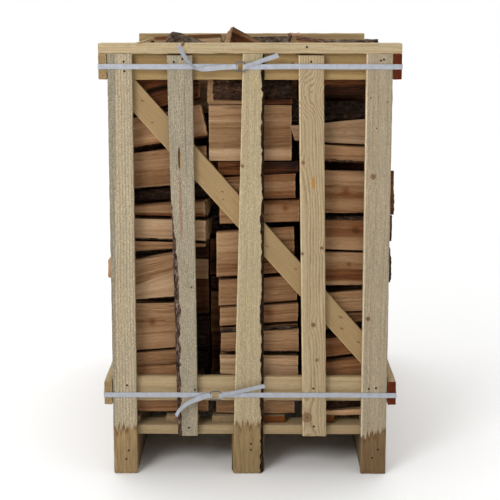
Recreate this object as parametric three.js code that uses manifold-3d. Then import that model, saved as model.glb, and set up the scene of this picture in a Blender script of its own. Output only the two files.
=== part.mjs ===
// A slatted softwood crate on three skids, packed with split firewood in three columns and held by two
// straps. Millimetres, +Z up, the crate's front towards -Y. The origin is the bottom centre of the whole part.
import * as THREE from 'three';
import * as BufferGeometryUtils from 'three/addons/utils/BufferGeometryUtils.js';
import Module from 'manifold-3d';

const wasm = await Module();
wasm.setup();

// ---- driving dimensions ----
const DEPTH = 1200;              // over the front and back slats
const WIDTH = 800;               // over the corner slats
const TOUCH = 0.3;               // gap kept between pieces that touch
const SLAT_THICK = 22;
const RAIL_THICK = 22;
const SIDE_RAIL_THICK = 23.5;
const CAP_THICK = 28;
const CAP_DEEP = 82;
const FRAME_TOP = 1228;          // underside of the caps
const TOP_RAIL_HIGH = 74;
const LOW_RAIL_BASE = 215;
const LOW_RAIL_HIGH = 72;
const SIDE_LOW_RAIL_BASE = 211;
const SIDE_LOW_RAIL_HIGH = 70;
const SKID_HIGH = 112;
const CROSS_THICK = 28;
const CROSS_DEEP = 70;
const DECK_THICK = 20;
const DECK_SETBACK = 20;         // from the front cross board's edge to the deck boards' ends
const BRACE_WIDE = 68;
const STRAP_WIDE = 16;
const STRAP_THICK = 1.2;
const STRAP_OFF = 0.6;           // the straps' stand-off from the boards
const UPPER_STRAP = 1192;        // height of the strap's middle
const LOWER_STRAP = 240;
const STACK_TOP = 1196;          // height of the level part of the firewood

const HALF_W = WIDTH / 2;
const HALF_D = DEPTH / 2;
const RAIL_FRONT = HALF_D - SLAT_THICK - TOUCH;       // outer face of the front and back rails
const RAIL_BACK = RAIL_FRONT - RAIL_THICK;            // their inner face
const OUTER_W = HALF_W + TOUCH + SIDE_RAIL_THICK;     // outer face of the side rails
const SIDE_SLAT_IN = HALF_W - SLAT_THICK;             // inner face of the side slats
const CROSS_BASE = SKID_HIGH + TOUCH;
const DECK_BASE = CROSS_BASE + CROSS_THICK + TOUCH;
const STACK_BASE = DECK_BASE + DECK_THICK + TOUCH;
const TOP_RAIL_BASE = FRAME_TOP - TOP_RAIL_HIGH - TOUCH;
const STACK_HALF_D = RAIL_BACK - 2;

// The five slats of an end frame: where each crosses the floor side and the top side, and its height range.
const END_SLATS = [
  { name: 'slat_1', low: [-399, -330], high: [-399, -330], base: 0, top: FRAME_TOP - TOUCH },
  { name: 'slat_2', low: [-212, -152], high: [-233, -161], base: 115, top: FRAME_TOP - 5 },
  { name: 'slat_3', low: [-50.5, 40], high: [-20, 41], base: 0, top: FRAME_TOP - TOUCH },
  { name: 'slat_4', low: [154, 223], high: [135.5, 206], base: 115, top: FRAME_TOP - 5 },
  { name: 'slat_5', low: [324, 397], high: [325, 399], base: 0, top: FRAME_TOP - TOUCH },
];
const SIDE_SLATS = [-518, -262, 2, 258, 516];         // middles of the side slats, front to back
const SIDE_SLAT_WIDE = 72;
const SKIDS = [
  { name: 'skid_left', foot: [-396, -333], crown: [-399, -331] },
  { name: 'skid_centre', foot: [-48, 34], crown: [-54, 42] },
  { name: 'skid_right', foot: [328, 392], crown: [326, 397] },
];
const DECK_BOARDS = [[-377, -325], [-248, -152], [-112, -24], [15, 103], [160, 248], [324, 377]];
const COLUMNS = [
  { name: 'firewood_left', from: -376, to: -125 },
  { name: 'firewood_centre', from: -119, to: 142 },
  { name: 'firewood_right', from: 149, to: 376 },
];
// Loose logs on top of the level stack. at: middle of the log's underside; lift: height of that point over
// the stack; turn: about Z, and pitch: left end up, in degrees; taper: height lost at the right end.
const TOP_LOGS = [
  { name: 'top_log_1', at: [-142, -250], lift: -21, turn: 2, pitch: 14, size: [248, 92, 78], taper: 0, round: true },
  { name: 'top_log_2', at: [-206, -5], lift: 4, turn: -2, pitch: -3, size: [218, 92, 68], taper: 0, round: false },
  { name: 'top_log_3', at: [19, -345], lift: -12, turn: 0, pitch: 15, size: [205, 90, 92], taper: 0.59, round: false },
  { name: 'top_log_4', at: [26, 105], lift: 1, turn: 3, pitch: 0, size: [200, 84, 63], taper: 0, round: true },
  { name: 'top_log_5', at: [150, 175], lift: 1, turn: 91, pitch: 0, size: [190, 40, 68], taper: 0, round: false },
  { name: 'top_log_6', at: [253, -232], lift: -8, turn: -3, pitch: 6, size: [226, 88, 68], taper: 0, round: true },
  { name: 'top_log_7', at: [299, -342], lift: 31.5, turn: 2, pitch: -1, size: [166, 60, 33], taper: 0, round: true },
  { name: 'top_log_8', at: [-180, 330], lift: 0.5, turn: 5, pitch: 0, size: [225, 88, 38], taper: 0, round: true },
];

// ---- materials ----
function finish(hex, roughness, metalness = 0) {
  return new THREE.MeshStandardMaterial({ color: hex, roughness, metalness });
}
const slatWood = () => finish(0xbeaf87, 0.8);
const railWood = () => finish(0xb4915f, 0.85);
const firewood = () => finish(0xa07350, 0.9);
const strapWeave = () => finish(0xc3c8d7, 0.6);
const zincWire = () => finish(0x8d8f8c, 0.4, 1);

// ---- helpers ----
const part = new THREE.Group();

function add(name, geometry, material, place = new THREE.Matrix4()) {
  const mesh = new THREE.Mesh(geometry, material);
  mesh.name = name;
  mesh.applyMatrix4(place);
  part.add(mesh);
}

/** A solid block between two corners. */
function block([x0, y0, z0], [x1, y1, z1]) {
  const box = new THREE.BoxGeometry(x1 - x0, y1 - y0, z1 - z0);
  box.translate((x0 + x1) / 2, (y0 + y1) / 2, (z0 + z1) / 2);
  return box;
}

/** An outline of [x, z] points made into a board whose faces look along Y, from y0 to y1. */
function plateXZ(points, y0, y1) {
  const outline = new THREE.Shape(points.map(([x, z]) => new THREE.Vector2(x, z)));
  const plate = new THREE.ExtrudeGeometry(outline, { depth: y1 - y0, bevelEnabled: false });
  plate.rotateX(Math.PI / 2);        // x stays, z becomes height, the extrusion runs towards -Y
  plate.translate(0, y1, 0);
  return plate;
}

function toSolid(geometry) {
  const bare = geometry.clone();
  bare.deleteAttribute('normal');
  bare.deleteAttribute('uv');
  const merged = BufferGeometryUtils.mergeVertices(bare, 1e-4);
  return new wasm.Manifold(new wasm.Mesh({
    numProp: 3,
    vertProperties: new Float32Array(merged.attributes.position.array),
    triVerts: new Uint32Array(merged.index.array),
  }));
}

function fromSolid(solid) {
  const mesh = solid.getMesh();
  const geometry = new THREE.BufferGeometry();
  geometry.setAttribute('position', new THREE.BufferAttribute(mesh.vertProperties, 3));
  geometry.setIndex(new THREE.BufferAttribute(mesh.triVerts, 1));
  geometry.computeVertexNormals();
  return geometry;
}

function roundedRectangle(halfX, halfY, radius) {
  const outline = new THREE.Shape();
  outline.moveTo(-halfX + radius, -halfY);
  outline.lineTo(halfX - radius, -halfY);
  outline.absarc(halfX - radius, -halfY + radius, radius, -Math.PI / 2, 0);
  outline.lineTo(halfX, halfY - radius);
  outline.absarc(halfX - radius, halfY - radius, radius, 0, Math.PI / 2);
  outline.lineTo(-halfX + radius, halfY);
  outline.absarc(-halfX + radius, halfY - radius, radius, Math.PI / 2, Math.PI);
  outline.lineTo(-halfX, -halfY + radius);
  outline.absarc(-halfX + radius, -halfY + radius, radius, Math.PI, Math.PI * 1.5);
  return outline;
}

// ---- end frames: slats, rails, diagonal brace and cap ----
/** The brace between the rails, with its ends cut level under the top rail and on the low rail. */
function braceOutline() {
  const top = TOP_RAIL_BASE - TOUCH;
  const base = LOW_RAIL_BASE + LOW_RAIL_HIGH + TOUCH;
  const line = { x0: -325, z0: 1104, x1: 322, z1: 381 };
  const run = Math.hypot(line.x1 - line.x0, line.z1 - line.z0);
  const across = (BRACE_WIDE / 2) * run;
  const slope = (line.z1 - line.z0) / (line.x1 - line.x0);
  const shift = across / (line.z0 - line.z1);          // level distance from the middle line to an edge
  const xAt = (z) => line.x0 + (z - line.z0) / slope;
  const endX = SIDE_SLAT_IN - TOUCH;
  const zAt = (x) => line.z0 + (x - line.x0) * slope;
  const rise = across / (line.x1 - line.x0);           // upright distance from the middle line to an edge
  const leftEnd = Math.max(-endX, xAt(top) - shift);
  const rightEnd = Math.min(endX, xAt(base) + shift);
  return [
    [leftEnd, zAt(leftEnd) - rise], [xAt(base) - shift, base], [rightEnd, base],
    [rightEnd, zAt(rightEnd) + rise], [xAt(top) + shift, top], [leftEnd, top],
  ];
}

function endFrame(prefix, side) {
  const span = (near, far) => (side < 0 ? [-near, -far] : [far, near]);
  const [slatA, slatB] = span(HALF_D, HALF_D - SLAT_THICK);
  const [railA, railB] = span(RAIL_FRONT, RAIL_BACK);
  const [capA, capB] = span(HALF_D, HALF_D - CAP_DEEP);
  const flip = (points) => (side < 0 ? points : points.map(([x, z]) => [-x, z]).reverse());
  for (const { name, low, high, base, top } of END_SLATS) {
    const outline = [[low[0], base], [low[1], base], [high[1], top], [high[0], top]];
    add(`${prefix}_${name}`, plateXZ(flip(outline), slatA, slatB), slatWood());
  }
  const half = HALF_W - TOUCH;
  add(`${prefix}_top_rail`, block([-half, railA, TOP_RAIL_BASE], [half, railB, FRAME_TOP - TOUCH]), railWood());
  add(`${prefix}_low_rail`,
    block([-half, railA, LOW_RAIL_BASE], [half, railB, LOW_RAIL_BASE + LOW_RAIL_HIGH]), railWood());
  add(`${prefix}_brace`, plateXZ(flip(braceOutline()), railA, railB), slatWood());
  add(`${prefix}_cap`,
    block([-OUTER_W, capA, FRAME_TOP], [OUTER_W, capB, FRAME_TOP + CAP_THICK]), railWood());
}
endFrame('front', -1);
endFrame('back', 1);

// ---- sides: rails outside, upright slats inside them ----
function sideFrame(prefix, side) {
  const span = (near, far) => (side < 0 ? [-far, -near] : [near, far]);
  const [railA, railB] = span(HALF_W + TOUCH, OUTER_W);
  const [slatA, slatB] = span(SIDE_SLAT_IN, HALF_W - TOUCH);
  add(`${prefix}_top_rail`,
    block([railA, -HALF_D, TOP_RAIL_BASE + 2], [railB, HALF_D, FRAME_TOP - TOUCH]), railWood());
  add(`${prefix}_low_rail`,
    block([railA, -HALF_D, SIDE_LOW_RAIL_BASE], [railB, HALF_D, SIDE_LOW_RAIL_BASE + SIDE_LOW_RAIL_HIGH]),
    railWood());
  SIDE_SLATS.forEach((middle, i) => {
    const half = SIDE_SLAT_WIDE / 2;
    add(`${prefix}_slat_${i + 1}`,
      block([slatA, middle - half, DECK_BASE], [slatB, middle + half, FRAME_TOP - TOUCH]), slatWood());
  });
}
sideFrame('left', -1);
sideFrame('right', 1);

// ---- base: skids, cross boards and deck boards ----
for (const { name, foot, crown } of SKIDS) {
  const waist = SKID_HIGH * 0.55;
  const outline = [[foot[0], 0], [foot[1], 0], [crown[1], waist], [crown[1], SKID_HIGH],
    [crown[0], SKID_HIGH], [crown[0], waist]];
  add(name, plateXZ(outline, -RAIL_FRONT, RAIL_FRONT), railWood());
}
const crossHalf = HALF_W - TOUCH;
const crossTop = CROSS_BASE + CROSS_THICK;
add('cross_board_front', block([-crossHalf, -RAIL_FRONT, CROSS_BASE],
  [crossHalf, -RAIL_FRONT + CROSS_DEEP, crossTop]), railWood());
add('cross_board_middle', block([-crossHalf, -CROSS_DEEP / 2, CROSS_BASE],
  [crossHalf, CROSS_DEEP / 2, crossTop]), railWood());
add('cross_board_back', block([-crossHalf, RAIL_FRONT - CROSS_DEEP, CROSS_BASE],
  [crossHalf, RAIL_FRONT, crossTop]), railWood());
DECK_BOARDS.forEach(([from, to], i) => {
  const reach = RAIL_FRONT - DECK_SETBACK;
  add(`deck_board_${i + 1}`, block([from, -reach, DECK_BASE], [to, reach, DECK_BASE + DECK_THICK]), slatWood());
});

// ---- firewood: three columns, and the loose logs on top ----
for (const { name, from, to } of COLUMNS) {
  add(name, block([from, -STACK_HALF_D, STACK_BASE], [to, STACK_HALF_D, STACK_TOP]), firewood());
}
/** A split log along X: bark side up and rounded, or two split faces up to a blunt ridge. */
function splitLog([long, wide, high], taper, round) {
  const outline = new THREE.Shape();
  outline.moveTo(-wide * 0.34, 0);
  outline.lineTo(wide * 0.34, 0);
  outline.quadraticCurveTo(wide * 0.52, high * 0.1, wide * 0.5, high * 0.42);
  if (round) {
    outline.quadraticCurveTo(wide * 0.42, high * 0.98, 0, high);
    outline.quadraticCurveTo(-wide * 0.44, high * 0.96, -wide * 0.5, high * 0.36);
  } else {
    outline.lineTo(wide * 0.12, high);
    outline.lineTo(-wide * 0.1, high * 0.97);
    outline.lineTo(-wide * 0.5, high * 0.36);
  }
  outline.quadraticCurveTo(-wide * 0.5, high * 0.08, -wide * 0.34, 0);
  const log = new THREE.ExtrudeGeometry(outline, { depth: long, bevelEnabled: false, curveSegments: 4 });
  log.rotateX(Math.PI / 2);
  log.rotateZ(Math.PI / 2);
  log.translate(-long / 2, 0, 0);
  const position = log.attributes.position;
  for (let i = 0; i < position.count; i += 1) {
    const lost = position.getX(i) > 0 ? taper : 0;
    position.setZ(i, position.getZ(i) * (1 - lost));
  }
  return log;
}
const buried = toSolid(block([-HALF_W, -HALF_D, STACK_BASE], [HALF_W, HALF_D, STACK_TOP + TOUCH]));
for (const { name, at, lift, turn, pitch, size, taper, round } of TOP_LOGS) {
  const log = splitLog(size, taper, round);
  log.rotateY(THREE.MathUtils.degToRad(pitch));
  log.rotateZ(THREE.MathUtils.degToRad(turn));
  log.translate(at[0], at[1], STACK_TOP + TOUCH + lift);
  add(name, fromSolid(toSolid(log).subtract(buried)), firewood());
}

// ---- straps, with their loose ends, and the wire buckles ----
/** A strap's loose end: a strip along [x, z] points, swung out from the front face towards its tip. */
function looseEnd(points, lean) {
  const edge = (side) => points.map(([x, z], i) => {
    const [ax, az] = points[Math.max(i - 1, 0)];
    const [bx, bz] = points[Math.min(i + 1, points.length - 1)];
    const run = Math.hypot(bx - ax, bz - az);
    const half = (side * STRAP_WIDE) / 2;
    return [x - ((bz - az) / run) * half, z + ((bx - ax) / run) * half];
  });
  const outline = [...edge(-1), ...edge(1).reverse()];
  const front = -HALF_D - STRAP_OFF - STRAP_THICK;
  const strip = plateXZ(outline, front - STRAP_THICK * 0.6, front + STRAP_THICK * 0.4);
  const start = points[0][0];
  const far = Math.abs(points[points.length - 1][0] - start);
  const position = strip.attributes.position;
  for (let i = 0; i < position.count; i += 1) {
    const share = Math.abs(position.getX(i) - start) / far;
    position.setY(i, position.getY(i) - lean * share * share);
  }
  return strip;
}

function strap(name, height, ends) {
  const bend = 1.4;                                     // inner radius where the strap turns a corner
  const outer = roundedRectangle(
    OUTER_W + STRAP_OFF + STRAP_THICK, HALF_D + STRAP_OFF + STRAP_THICK, bend + STRAP_THICK);
  outer.holes.push(roundedRectangle(OUTER_W + STRAP_OFF, HALF_D + STRAP_OFF, bend));
  const band = new THREE.ExtrudeGeometry(outer, { depth: STRAP_WIDE, bevelEnabled: false, curveSegments: 4 });
  band.translate(0, 0, height - STRAP_WIDE / 2);
  const whole = ends.reduce((solid, end) => solid.add(toSolid(end)), toSolid(band));
  add(name, fromSolid(whole), strapWeave());
}
strap('upper_strap', UPPER_STRAP, [
  looseEnd([[-34, 1193], [-80, 1190], [-130, 1188], [-158, 1196], [-180, 1216], [-205, 1252]], 24),
  looseEnd([[-18, 1193], [20, 1199], [50, 1212], [78, 1229]], 20),
]);
strap('lower_strap', LOWER_STRAP, [
  looseEnd([[-112, 240], [-140, 234], [-165, 236], [-190, 218], [-208, 190]], 22),
  looseEnd([[-90, 240], [-50, 246], [0, 256], [42, 268]], 16),
]);

/** A bent wire buckle: a rounded frame that stands on the strap's face. */
function buckle(name, x, z, wide, high) {
  const wire = 3.2;
  const frame = roundedRectangle(wide / 2, high / 2, 5);
  frame.holes.push(roundedRectangle(wide / 2 - wire, high / 2 - wire, 2));
  const ring = new THREE.ExtrudeGeometry(frame, { depth: wire, bevelEnabled: false, curveSegments: 4 });
  ring.rotateX(Math.PI / 2);
  const front = -HALF_D - STRAP_OFF - STRAP_THICK - 3 * TOUCH;
  ring.translate(x, front - 1, z);
  add(name, ring, zincWire());
}
buckle('upper_buckle', -26.5, 1192, 24, 28);
buckle('lower_buckle', -100, 240, 29, 27);

// The strap ends stand out at the front, so the whole is moved back to put the origin at its bottom centre.
part.updateMatrixWorld(true);
const box = new THREE.Box3().setFromObject(part);
part.position.set(-(box.min.x + box.max.x) / 2, -(box.min.y + box.max.y) / 2, -box.min.z);

export default part;
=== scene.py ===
"""A slatted softwood crate on skids, packed with split firewood and tied with two woven straps.

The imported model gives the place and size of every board. This file makes the surfaces: sawn boards with wane,
knots and damp feet, separate split logs with bark and end grain, the straps, the wire buckles and the nails.
"""

import logging
import math
from dataclasses import dataclass, field
from enum import Enum
from typing import Union

import bpy
import numpy as np
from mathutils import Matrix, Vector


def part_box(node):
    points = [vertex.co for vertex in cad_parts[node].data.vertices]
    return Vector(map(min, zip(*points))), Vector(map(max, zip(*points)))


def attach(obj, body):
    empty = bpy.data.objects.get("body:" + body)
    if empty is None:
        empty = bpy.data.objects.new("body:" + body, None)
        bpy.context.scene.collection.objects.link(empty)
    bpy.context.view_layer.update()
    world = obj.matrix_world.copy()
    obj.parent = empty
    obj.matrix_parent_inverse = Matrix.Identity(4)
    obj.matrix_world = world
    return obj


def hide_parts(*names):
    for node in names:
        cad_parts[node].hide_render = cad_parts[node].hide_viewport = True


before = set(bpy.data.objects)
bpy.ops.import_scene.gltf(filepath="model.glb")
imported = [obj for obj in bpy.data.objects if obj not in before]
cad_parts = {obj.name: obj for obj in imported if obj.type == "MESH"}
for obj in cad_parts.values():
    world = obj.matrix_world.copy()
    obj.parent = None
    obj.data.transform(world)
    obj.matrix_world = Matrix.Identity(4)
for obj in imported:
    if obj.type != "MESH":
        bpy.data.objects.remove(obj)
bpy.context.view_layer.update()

LOG = logging.getLogger("firewood_crate")
BODY = "root"
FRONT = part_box("front_slat_1")[0].y          # outer face of the front slats
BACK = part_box("back_slat_1")[1].y            # outer face of the back slats
SAME = 1e-4                                  # places closer than this, in metres, are the same place
EASED = 0.0011                               # how far a board's sharp edges are eased
SAW_TEETH = 0.0006                           # roughness of a sawn end
BOARD_SHARP = 50.0                           # edges that bend by more degrees than this stay sharp
STRAP_SHARP = 60.0
Socket = bpy.types.NodeSocket
Value = Union[Socket, float, tuple]          # a socket to link, or a plain value to set
Random = np.random.Generator


class Axis(Enum):
    """A direction of the frame."""

    X = 0
    Y = 1
    Z = 2


class Side(Enum):
    """The four long sides of a split log, seen along its length with the outer face in front."""

    FRONT = 0
    TOP = 1
    BACK = 2
    UNDER = 3
    ALL = 4


# ---------------------------------------------------------------- shader building


class Graph:
    """The node tree of one finish, with short calls for the nodes it is made of."""

    def __init__(self, name: str) -> None:
        """Start an empty material with one Principled shader.

        Args:
            name: the material's name.
        """
        self.material = bpy.data.materials.new(name)
        self.material.use_nodes = True
        self.nodes = self.material.node_tree.nodes
        self.links = self.material.node_tree.links
        self.nodes.clear()
        self.shader = self.nodes.new("ShaderNodeBsdfPrincipled")
        out = self.nodes.new("ShaderNodeOutputMaterial")
        self.links.new(self.shader.outputs[0], out.inputs[0])
        self.shader.inputs["Specular IOR Level"].default_value = 0.15

    def put(self, socket: Socket, value: Value) -> None:
        """Link a socket to a value, or set it when the value is plain.

        Args:
            socket: the input.
            value: what goes in.
        """
        if isinstance(value, Socket):
            self.links.new(value, socket)
        else:
            socket.default_value = value

    def give(self, label: str, value: Value) -> None:
        """Put a value into one input of the shader."""
        self.put(self.shader.inputs[label], value)

    def maths(self, kind: str, *values: Value) -> Socket:
        """One Math node.

        Args:
            kind: the operation.
            values: its one to three values.

        Returns:
            The result socket.
        """
        node = self.nodes.new("ShaderNodeMath")
        node.operation = kind
        for socket, value in zip(node.inputs, values):
            self.put(socket, value)
        return node.outputs[0]

    def plus(self, a: Value, b: Value) -> Socket:
        """a + b."""
        return self.maths("ADD", a, b)

    def minus(self, a: Value, b: Value) -> Socket:
        """a - b."""
        return self.maths("SUBTRACT", a, b)

    def times(self, a: Value, b: Value) -> Socket:
        """a * b."""
        return self.maths("MULTIPLY", a, b)

    def over(self, a: Value, b: Value) -> Socket:
        """a / b."""
        return self.maths("DIVIDE", a, b)

    def mul_add(self, a: Value, b: Value, c: Value) -> Socket:
        """a * b + c."""
        return self.maths("MULTIPLY_ADD", a, b, c)

    def gap(self, a: Value, b: Value) -> Socket:
        """The distance between two numbers."""
        return self.maths("ABSOLUTE", self.minus(a, b))

    def turn(self, a: Value, b: Value) -> Socket:
        """How far a is through its present length b, 0 to 1."""
        return self.maths("FRACT", self.over(a, b))

    def reach(self, a: Value, b: Value) -> Socket:
        """The length of the two-part vector (a, b)."""
        return self.maths("SQRT", self.plus(self.times(a, a), self.times(b, b)))

    def scaled(self, where: Value, sizes: tuple) -> Socket:
        """A vector or colour multiplied by a triple.

        Args:
            where: the vector.
            sizes: the triple.

        Returns:
            The result socket.
        """
        node = self.nodes.new("ShaderNodeVectorMath")
        node.operation = "MULTIPLY"
        self.put(node.inputs[0], where)
        self.put(node.inputs[1], sizes)
        return node.outputs[0]

    def noise(self, where: Value, scale: Union[float, tuple], detail: float = 2.0, rough: float = 0.5,
              bend: float = 0.0) -> Socket:
        """One Noise Texture.

        Args:
            where: the vector socket.
            scale: pattern scale, or three of them to stretch it along the grain.
            detail: octaves.
            rough: roughness of the octaves.
            bend: distortion.

        Returns:
            The factor socket.
        """
        if isinstance(scale, tuple):
            where, scale = self.scaled(where, scale), 1.0
        node = self.nodes.new("ShaderNodeTexNoise")
        self.put(node.inputs["Vector"], where)
        settings = (("Scale", scale), ("Detail", detail), ("Roughness", rough), ("Distortion", bend))
        for label, value in settings:
            node.inputs[label].default_value = value
        return node.outputs["Fac"]

    def cells(self, where: Value, sizes: tuple) -> Socket:
        """Distance to the nearest cell centre of a stretched Voronoi Texture.

        Args:
            where: the vector socket.
            sizes: pattern scales along and across the grain.

        Returns:
            The distance socket.
        """
        node = self.nodes.new("ShaderNodeTexVoronoi")
        self.put(node.inputs["Vector"], self.scaled(where, sizes))
        node.inputs["Scale"].default_value = 1.0
        return node.outputs["Distance"]

    def between(self, value: Value, low: float, high: float, to_low: float = 0.0,
                to_high: float = 1.0) -> Socket:
        """Map a value smoothly from one range to another.

        Args:
            value: the socket to map.
            low: where the range starts.
            high: where the range ends.
            to_low: result at low.
            to_high: result at high.

        Returns:
            The result socket.
        """
        node = self.nodes.new("ShaderNodeMapRange")
        node.interpolation_type = "SMOOTHSTEP"
        settings = (("From Min", low), ("From Max", high), ("To Min", to_low), ("To Max", to_high))
        for label, number in settings:
            node.inputs[label].default_value = number
        self.put(node.inputs["Value"], value)
        return node.outputs["Result"]

    def mixed(self, share: Value, a: Value, b: Value) -> Socket:
        """Mix two colours.

        Args:
            share: how much of b.
            a: first colour, a triple or a socket.
            b: second colour, a triple or a socket.

        Returns:
            The colour socket.
        """
        node = self.nodes.new("ShaderNodeMix")
        node.data_type = "RGBA"
        self.put(node.inputs[0], share)
        for socket, colour in ((node.inputs[6], a), (node.inputs[7], b)):
            self.put(socket, (*colour, 1.0) if isinstance(colour, tuple) else colour)
        return node.outputs[2]

    def brighter(self, colour: Value, factor: Value) -> Socket:
        """A colour times a number.

        Args:
            colour: the colour.
            factor: the number.

        Returns:
            The result socket.
        """
        node = self.nodes.new("ShaderNodeVectorMath")
        node.operation = "SCALE"
        self.put(node.inputs[0], colour)
        self.put(node.inputs["Scale"], factor)
        return node.outputs[0]

    def ramp(self, value: Value, stops: tuple) -> Socket:
        """A colour ramp.

        Args:
            value: the socket that is looked up.
            stops: (place, colour) pairs, lowest first.

        Returns:
            The colour socket.
        """
        node = self.nodes.new("ShaderNodeValToRGB")
        marks = node.color_ramp.elements
        marks[0].color = (*stops[0][1], 1.0)
        marks[-1].color = (*stops[-1][1], 1.0)
        for place, colour in stops[1:-1]:
            marks.new(place).color = (*colour, 1.0)
        self.put(node.inputs[0], value)
        return node.outputs[0]

    def read(self, name: str) -> tuple:
        """Read a named attribute.

        Args:
            name: its name.

        Returns:
            The sockets (vector, x, y, z).
        """
        node = self.nodes.new("ShaderNodeAttribute")
        node.attribute_name = name
        split = self.nodes.new("ShaderNodeSeparateXYZ")
        self.links.new(node.outputs["Vector"], split.inputs[0])
        return (node.outputs["Vector"], *split.outputs)

    def bump(self, height: Value, strength: float, distance: float,
             under: Union[Socket, None] = None) -> Socket:
        """One Bump node.

        Args:
            height: the height socket.
            strength: how strong, 0 to 1.
            distance: real height of the relief in metres.
            under: a normal socket to build on.

        Returns:
            The normal socket.
        """
        node = self.nodes.new("ShaderNodeBump")
        node.inputs["Strength"].default_value = strength
        node.inputs["Distance"].default_value = distance
        self.put(node.inputs["Height"], height)
        if under is not None:
            self.links.new(under, node.inputs["Normal"])
        return node.outputs[0]


@dataclass(frozen=True)
class BarkTone:
    """Four colours of bark: the fissures, the plates, their worn tops and loose flakes."""

    gap: tuple = (0.015, 0.010, 0.007)
    plate: tuple = (0.066, 0.046, 0.031)
    worn: tuple = (0.17, 0.13, 0.092)
    flake: tuple = (0.30, 0.17, 0.075)
    crack: float = 0.42

    def look(self, g: Graph, where: Socket, flaky: Value) -> tuple:
        """Add this bark to a graph.

        Args:
            g: the graph to build in.
            where: the grain vector, along the wood first.
            flaky: how many orange flakes, 0 to 1.

        Returns:
            A colour socket and a height socket.
        """
        plates = g.cells(where, (60.0, 110.0, 110.0))
        broken = g.noise(where, (60.0, 150.0, 150.0), 5.0, 0.7, 0.6)
        height = g.times(g.between(plates, 0.05, 0.8, 1.0, 0.4), g.between(broken, 0.28, 0.64))
        grey = g.noise(where, 45.0, 5.0, 0.7)
        plate = g.mixed(g.between(grey, 0.42, 0.66), self.plate, self.worn)
        loose = g.between(g.noise(where, (34.0, 80.0, 80.0), 4.0, 0.65), 0.57, 0.66)
        plate = g.mixed(g.times(loose, flaky), plate, self.flake)
        return g.mixed(g.between(height, 0.06, self.crack), self.gap, plate), height


@dataclass(frozen=True)
class Knot:
    """A branch knot in a board: where it shows, in metres from the board's start and middle line."""

    along: float
    across: float
    radius: float
    dark: float = 0.6
    swirl: float = 1.0

    def draw(self, g: Graph, reach: Socket, wood: Socket) -> Socket:
        """Colour the knot, its halo and its rim.

        Args:
            g: the graph to build in.
            reach: the distance from the knot's middle.
            wood: the colour round it.

        Returns:
            The colour socket.
        """
        r, heart = self.radius, (0.06, 0.03, 0.017)
        rings = g.turn(reach, r * 0.24)
        core = g.mixed(g.between(rings, 0.3, 0.9), (0.36, 0.22, 0.115), (0.17, 0.085, 0.04))
        core = g.mixed(self.dark * 0.8, core, heart)
        core = g.mixed(g.between(reach, 0.0, r * 0.45, 0.7, 0.0), core, heart)
        halo = g.between(reach, r, r * 2.1, 0.42 * self.dark, 0.0)
        wood = g.mixed(halo, wood, (0.27, 0.145, 0.06))
        wood = g.mixed(g.between(reach, r * 0.9, r * 1.06, 0.92, 0.0), wood, core)
        rim = g.between(g.gap(reach, r), 0.0, r * 0.16, 0.75 * self.dark, 0.0)
        return g.mixed(rim, wood, (0.06, 0.032, 0.018))


@dataclass(frozen=True)
class Streak:
    """A resin pocket or dark streak that runs with the grain."""

    along: float
    across: float
    long: float
    wide: float
    colour: tuple = (0.05, 0.018, 0.008)
    share: float = 0.92

    def draw(self, g: Graph, at: "Grain", wood: Socket) -> Socket:
        """Colour the streak.

        Args:
            g: the graph to build in.
            at: the board's shared sockets.
            wood: the colour round it.

        Returns:
            The colour socket.
        """
        ahead = g.over(g.minus(at.along, self.along), self.long / 2)
        beside = g.over(g.minus(at.across, self.across), self.wide / 2)
        mark = g.mul_add(at.shiver, 0.5, g.reach(ahead, beside))
        return g.mixed(g.between(mark, 0.95, 1.4, self.share, 0.0), wood, self.colour)


@dataclass(frozen=True)
class Damp:
    """A damp brown foot with a ragged upper edge."""

    height: float
    ragged: float = 0.03
    lean: float = 0.0
    colour: tuple = (0.265, 0.17, 0.073)

    def draw(self, g: Graph, at: "Grain", wood: Socket) -> Socket:
        """Colour the damp foot and its dark tide line.

        Args:
            g: the graph to build in.
            at: the board's shared sockets.
            wood: the dry colour.

        Returns:
            The colour socket.
        """
        teeth = g.noise(at.where, (1.5, 110.0, 0.0), 3.0, 0.75)
        level = g.mul_add(teeth, -self.ragged * 2, at.along)
        level = g.mul_add(at.across, self.lean, level)
        edge = self.height - self.ragged
        wet = g.between(level, edge - 0.004, edge + 0.003, 0.85, 0.0)
        soaked = g.noise(at.where, (12.0, 130.0, 130.0), 4.0, 0.7)
        wood = g.mixed(wet, wood, g.brighter(self.colour, g.between(soaked, 0.3, 0.7, 0.7, 1.3)))
        tide = g.between(g.gap(level, edge - 0.008), 0.0, 0.016, 0.85, 0.0)
        blot = g.between(g.noise(at.where, (12.0, 50.0, 0.0)), 0.42, 0.6)
        return g.mixed(g.times(tide, blot), wood, (0.12, 0.06, 0.02))


@dataclass(frozen=True)
class Grain:
    """The sockets that the layers of a sawn finish share."""

    where: Socket
    along: Socket
    across: Socket
    deep: Socket
    shiver: Socket


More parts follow.
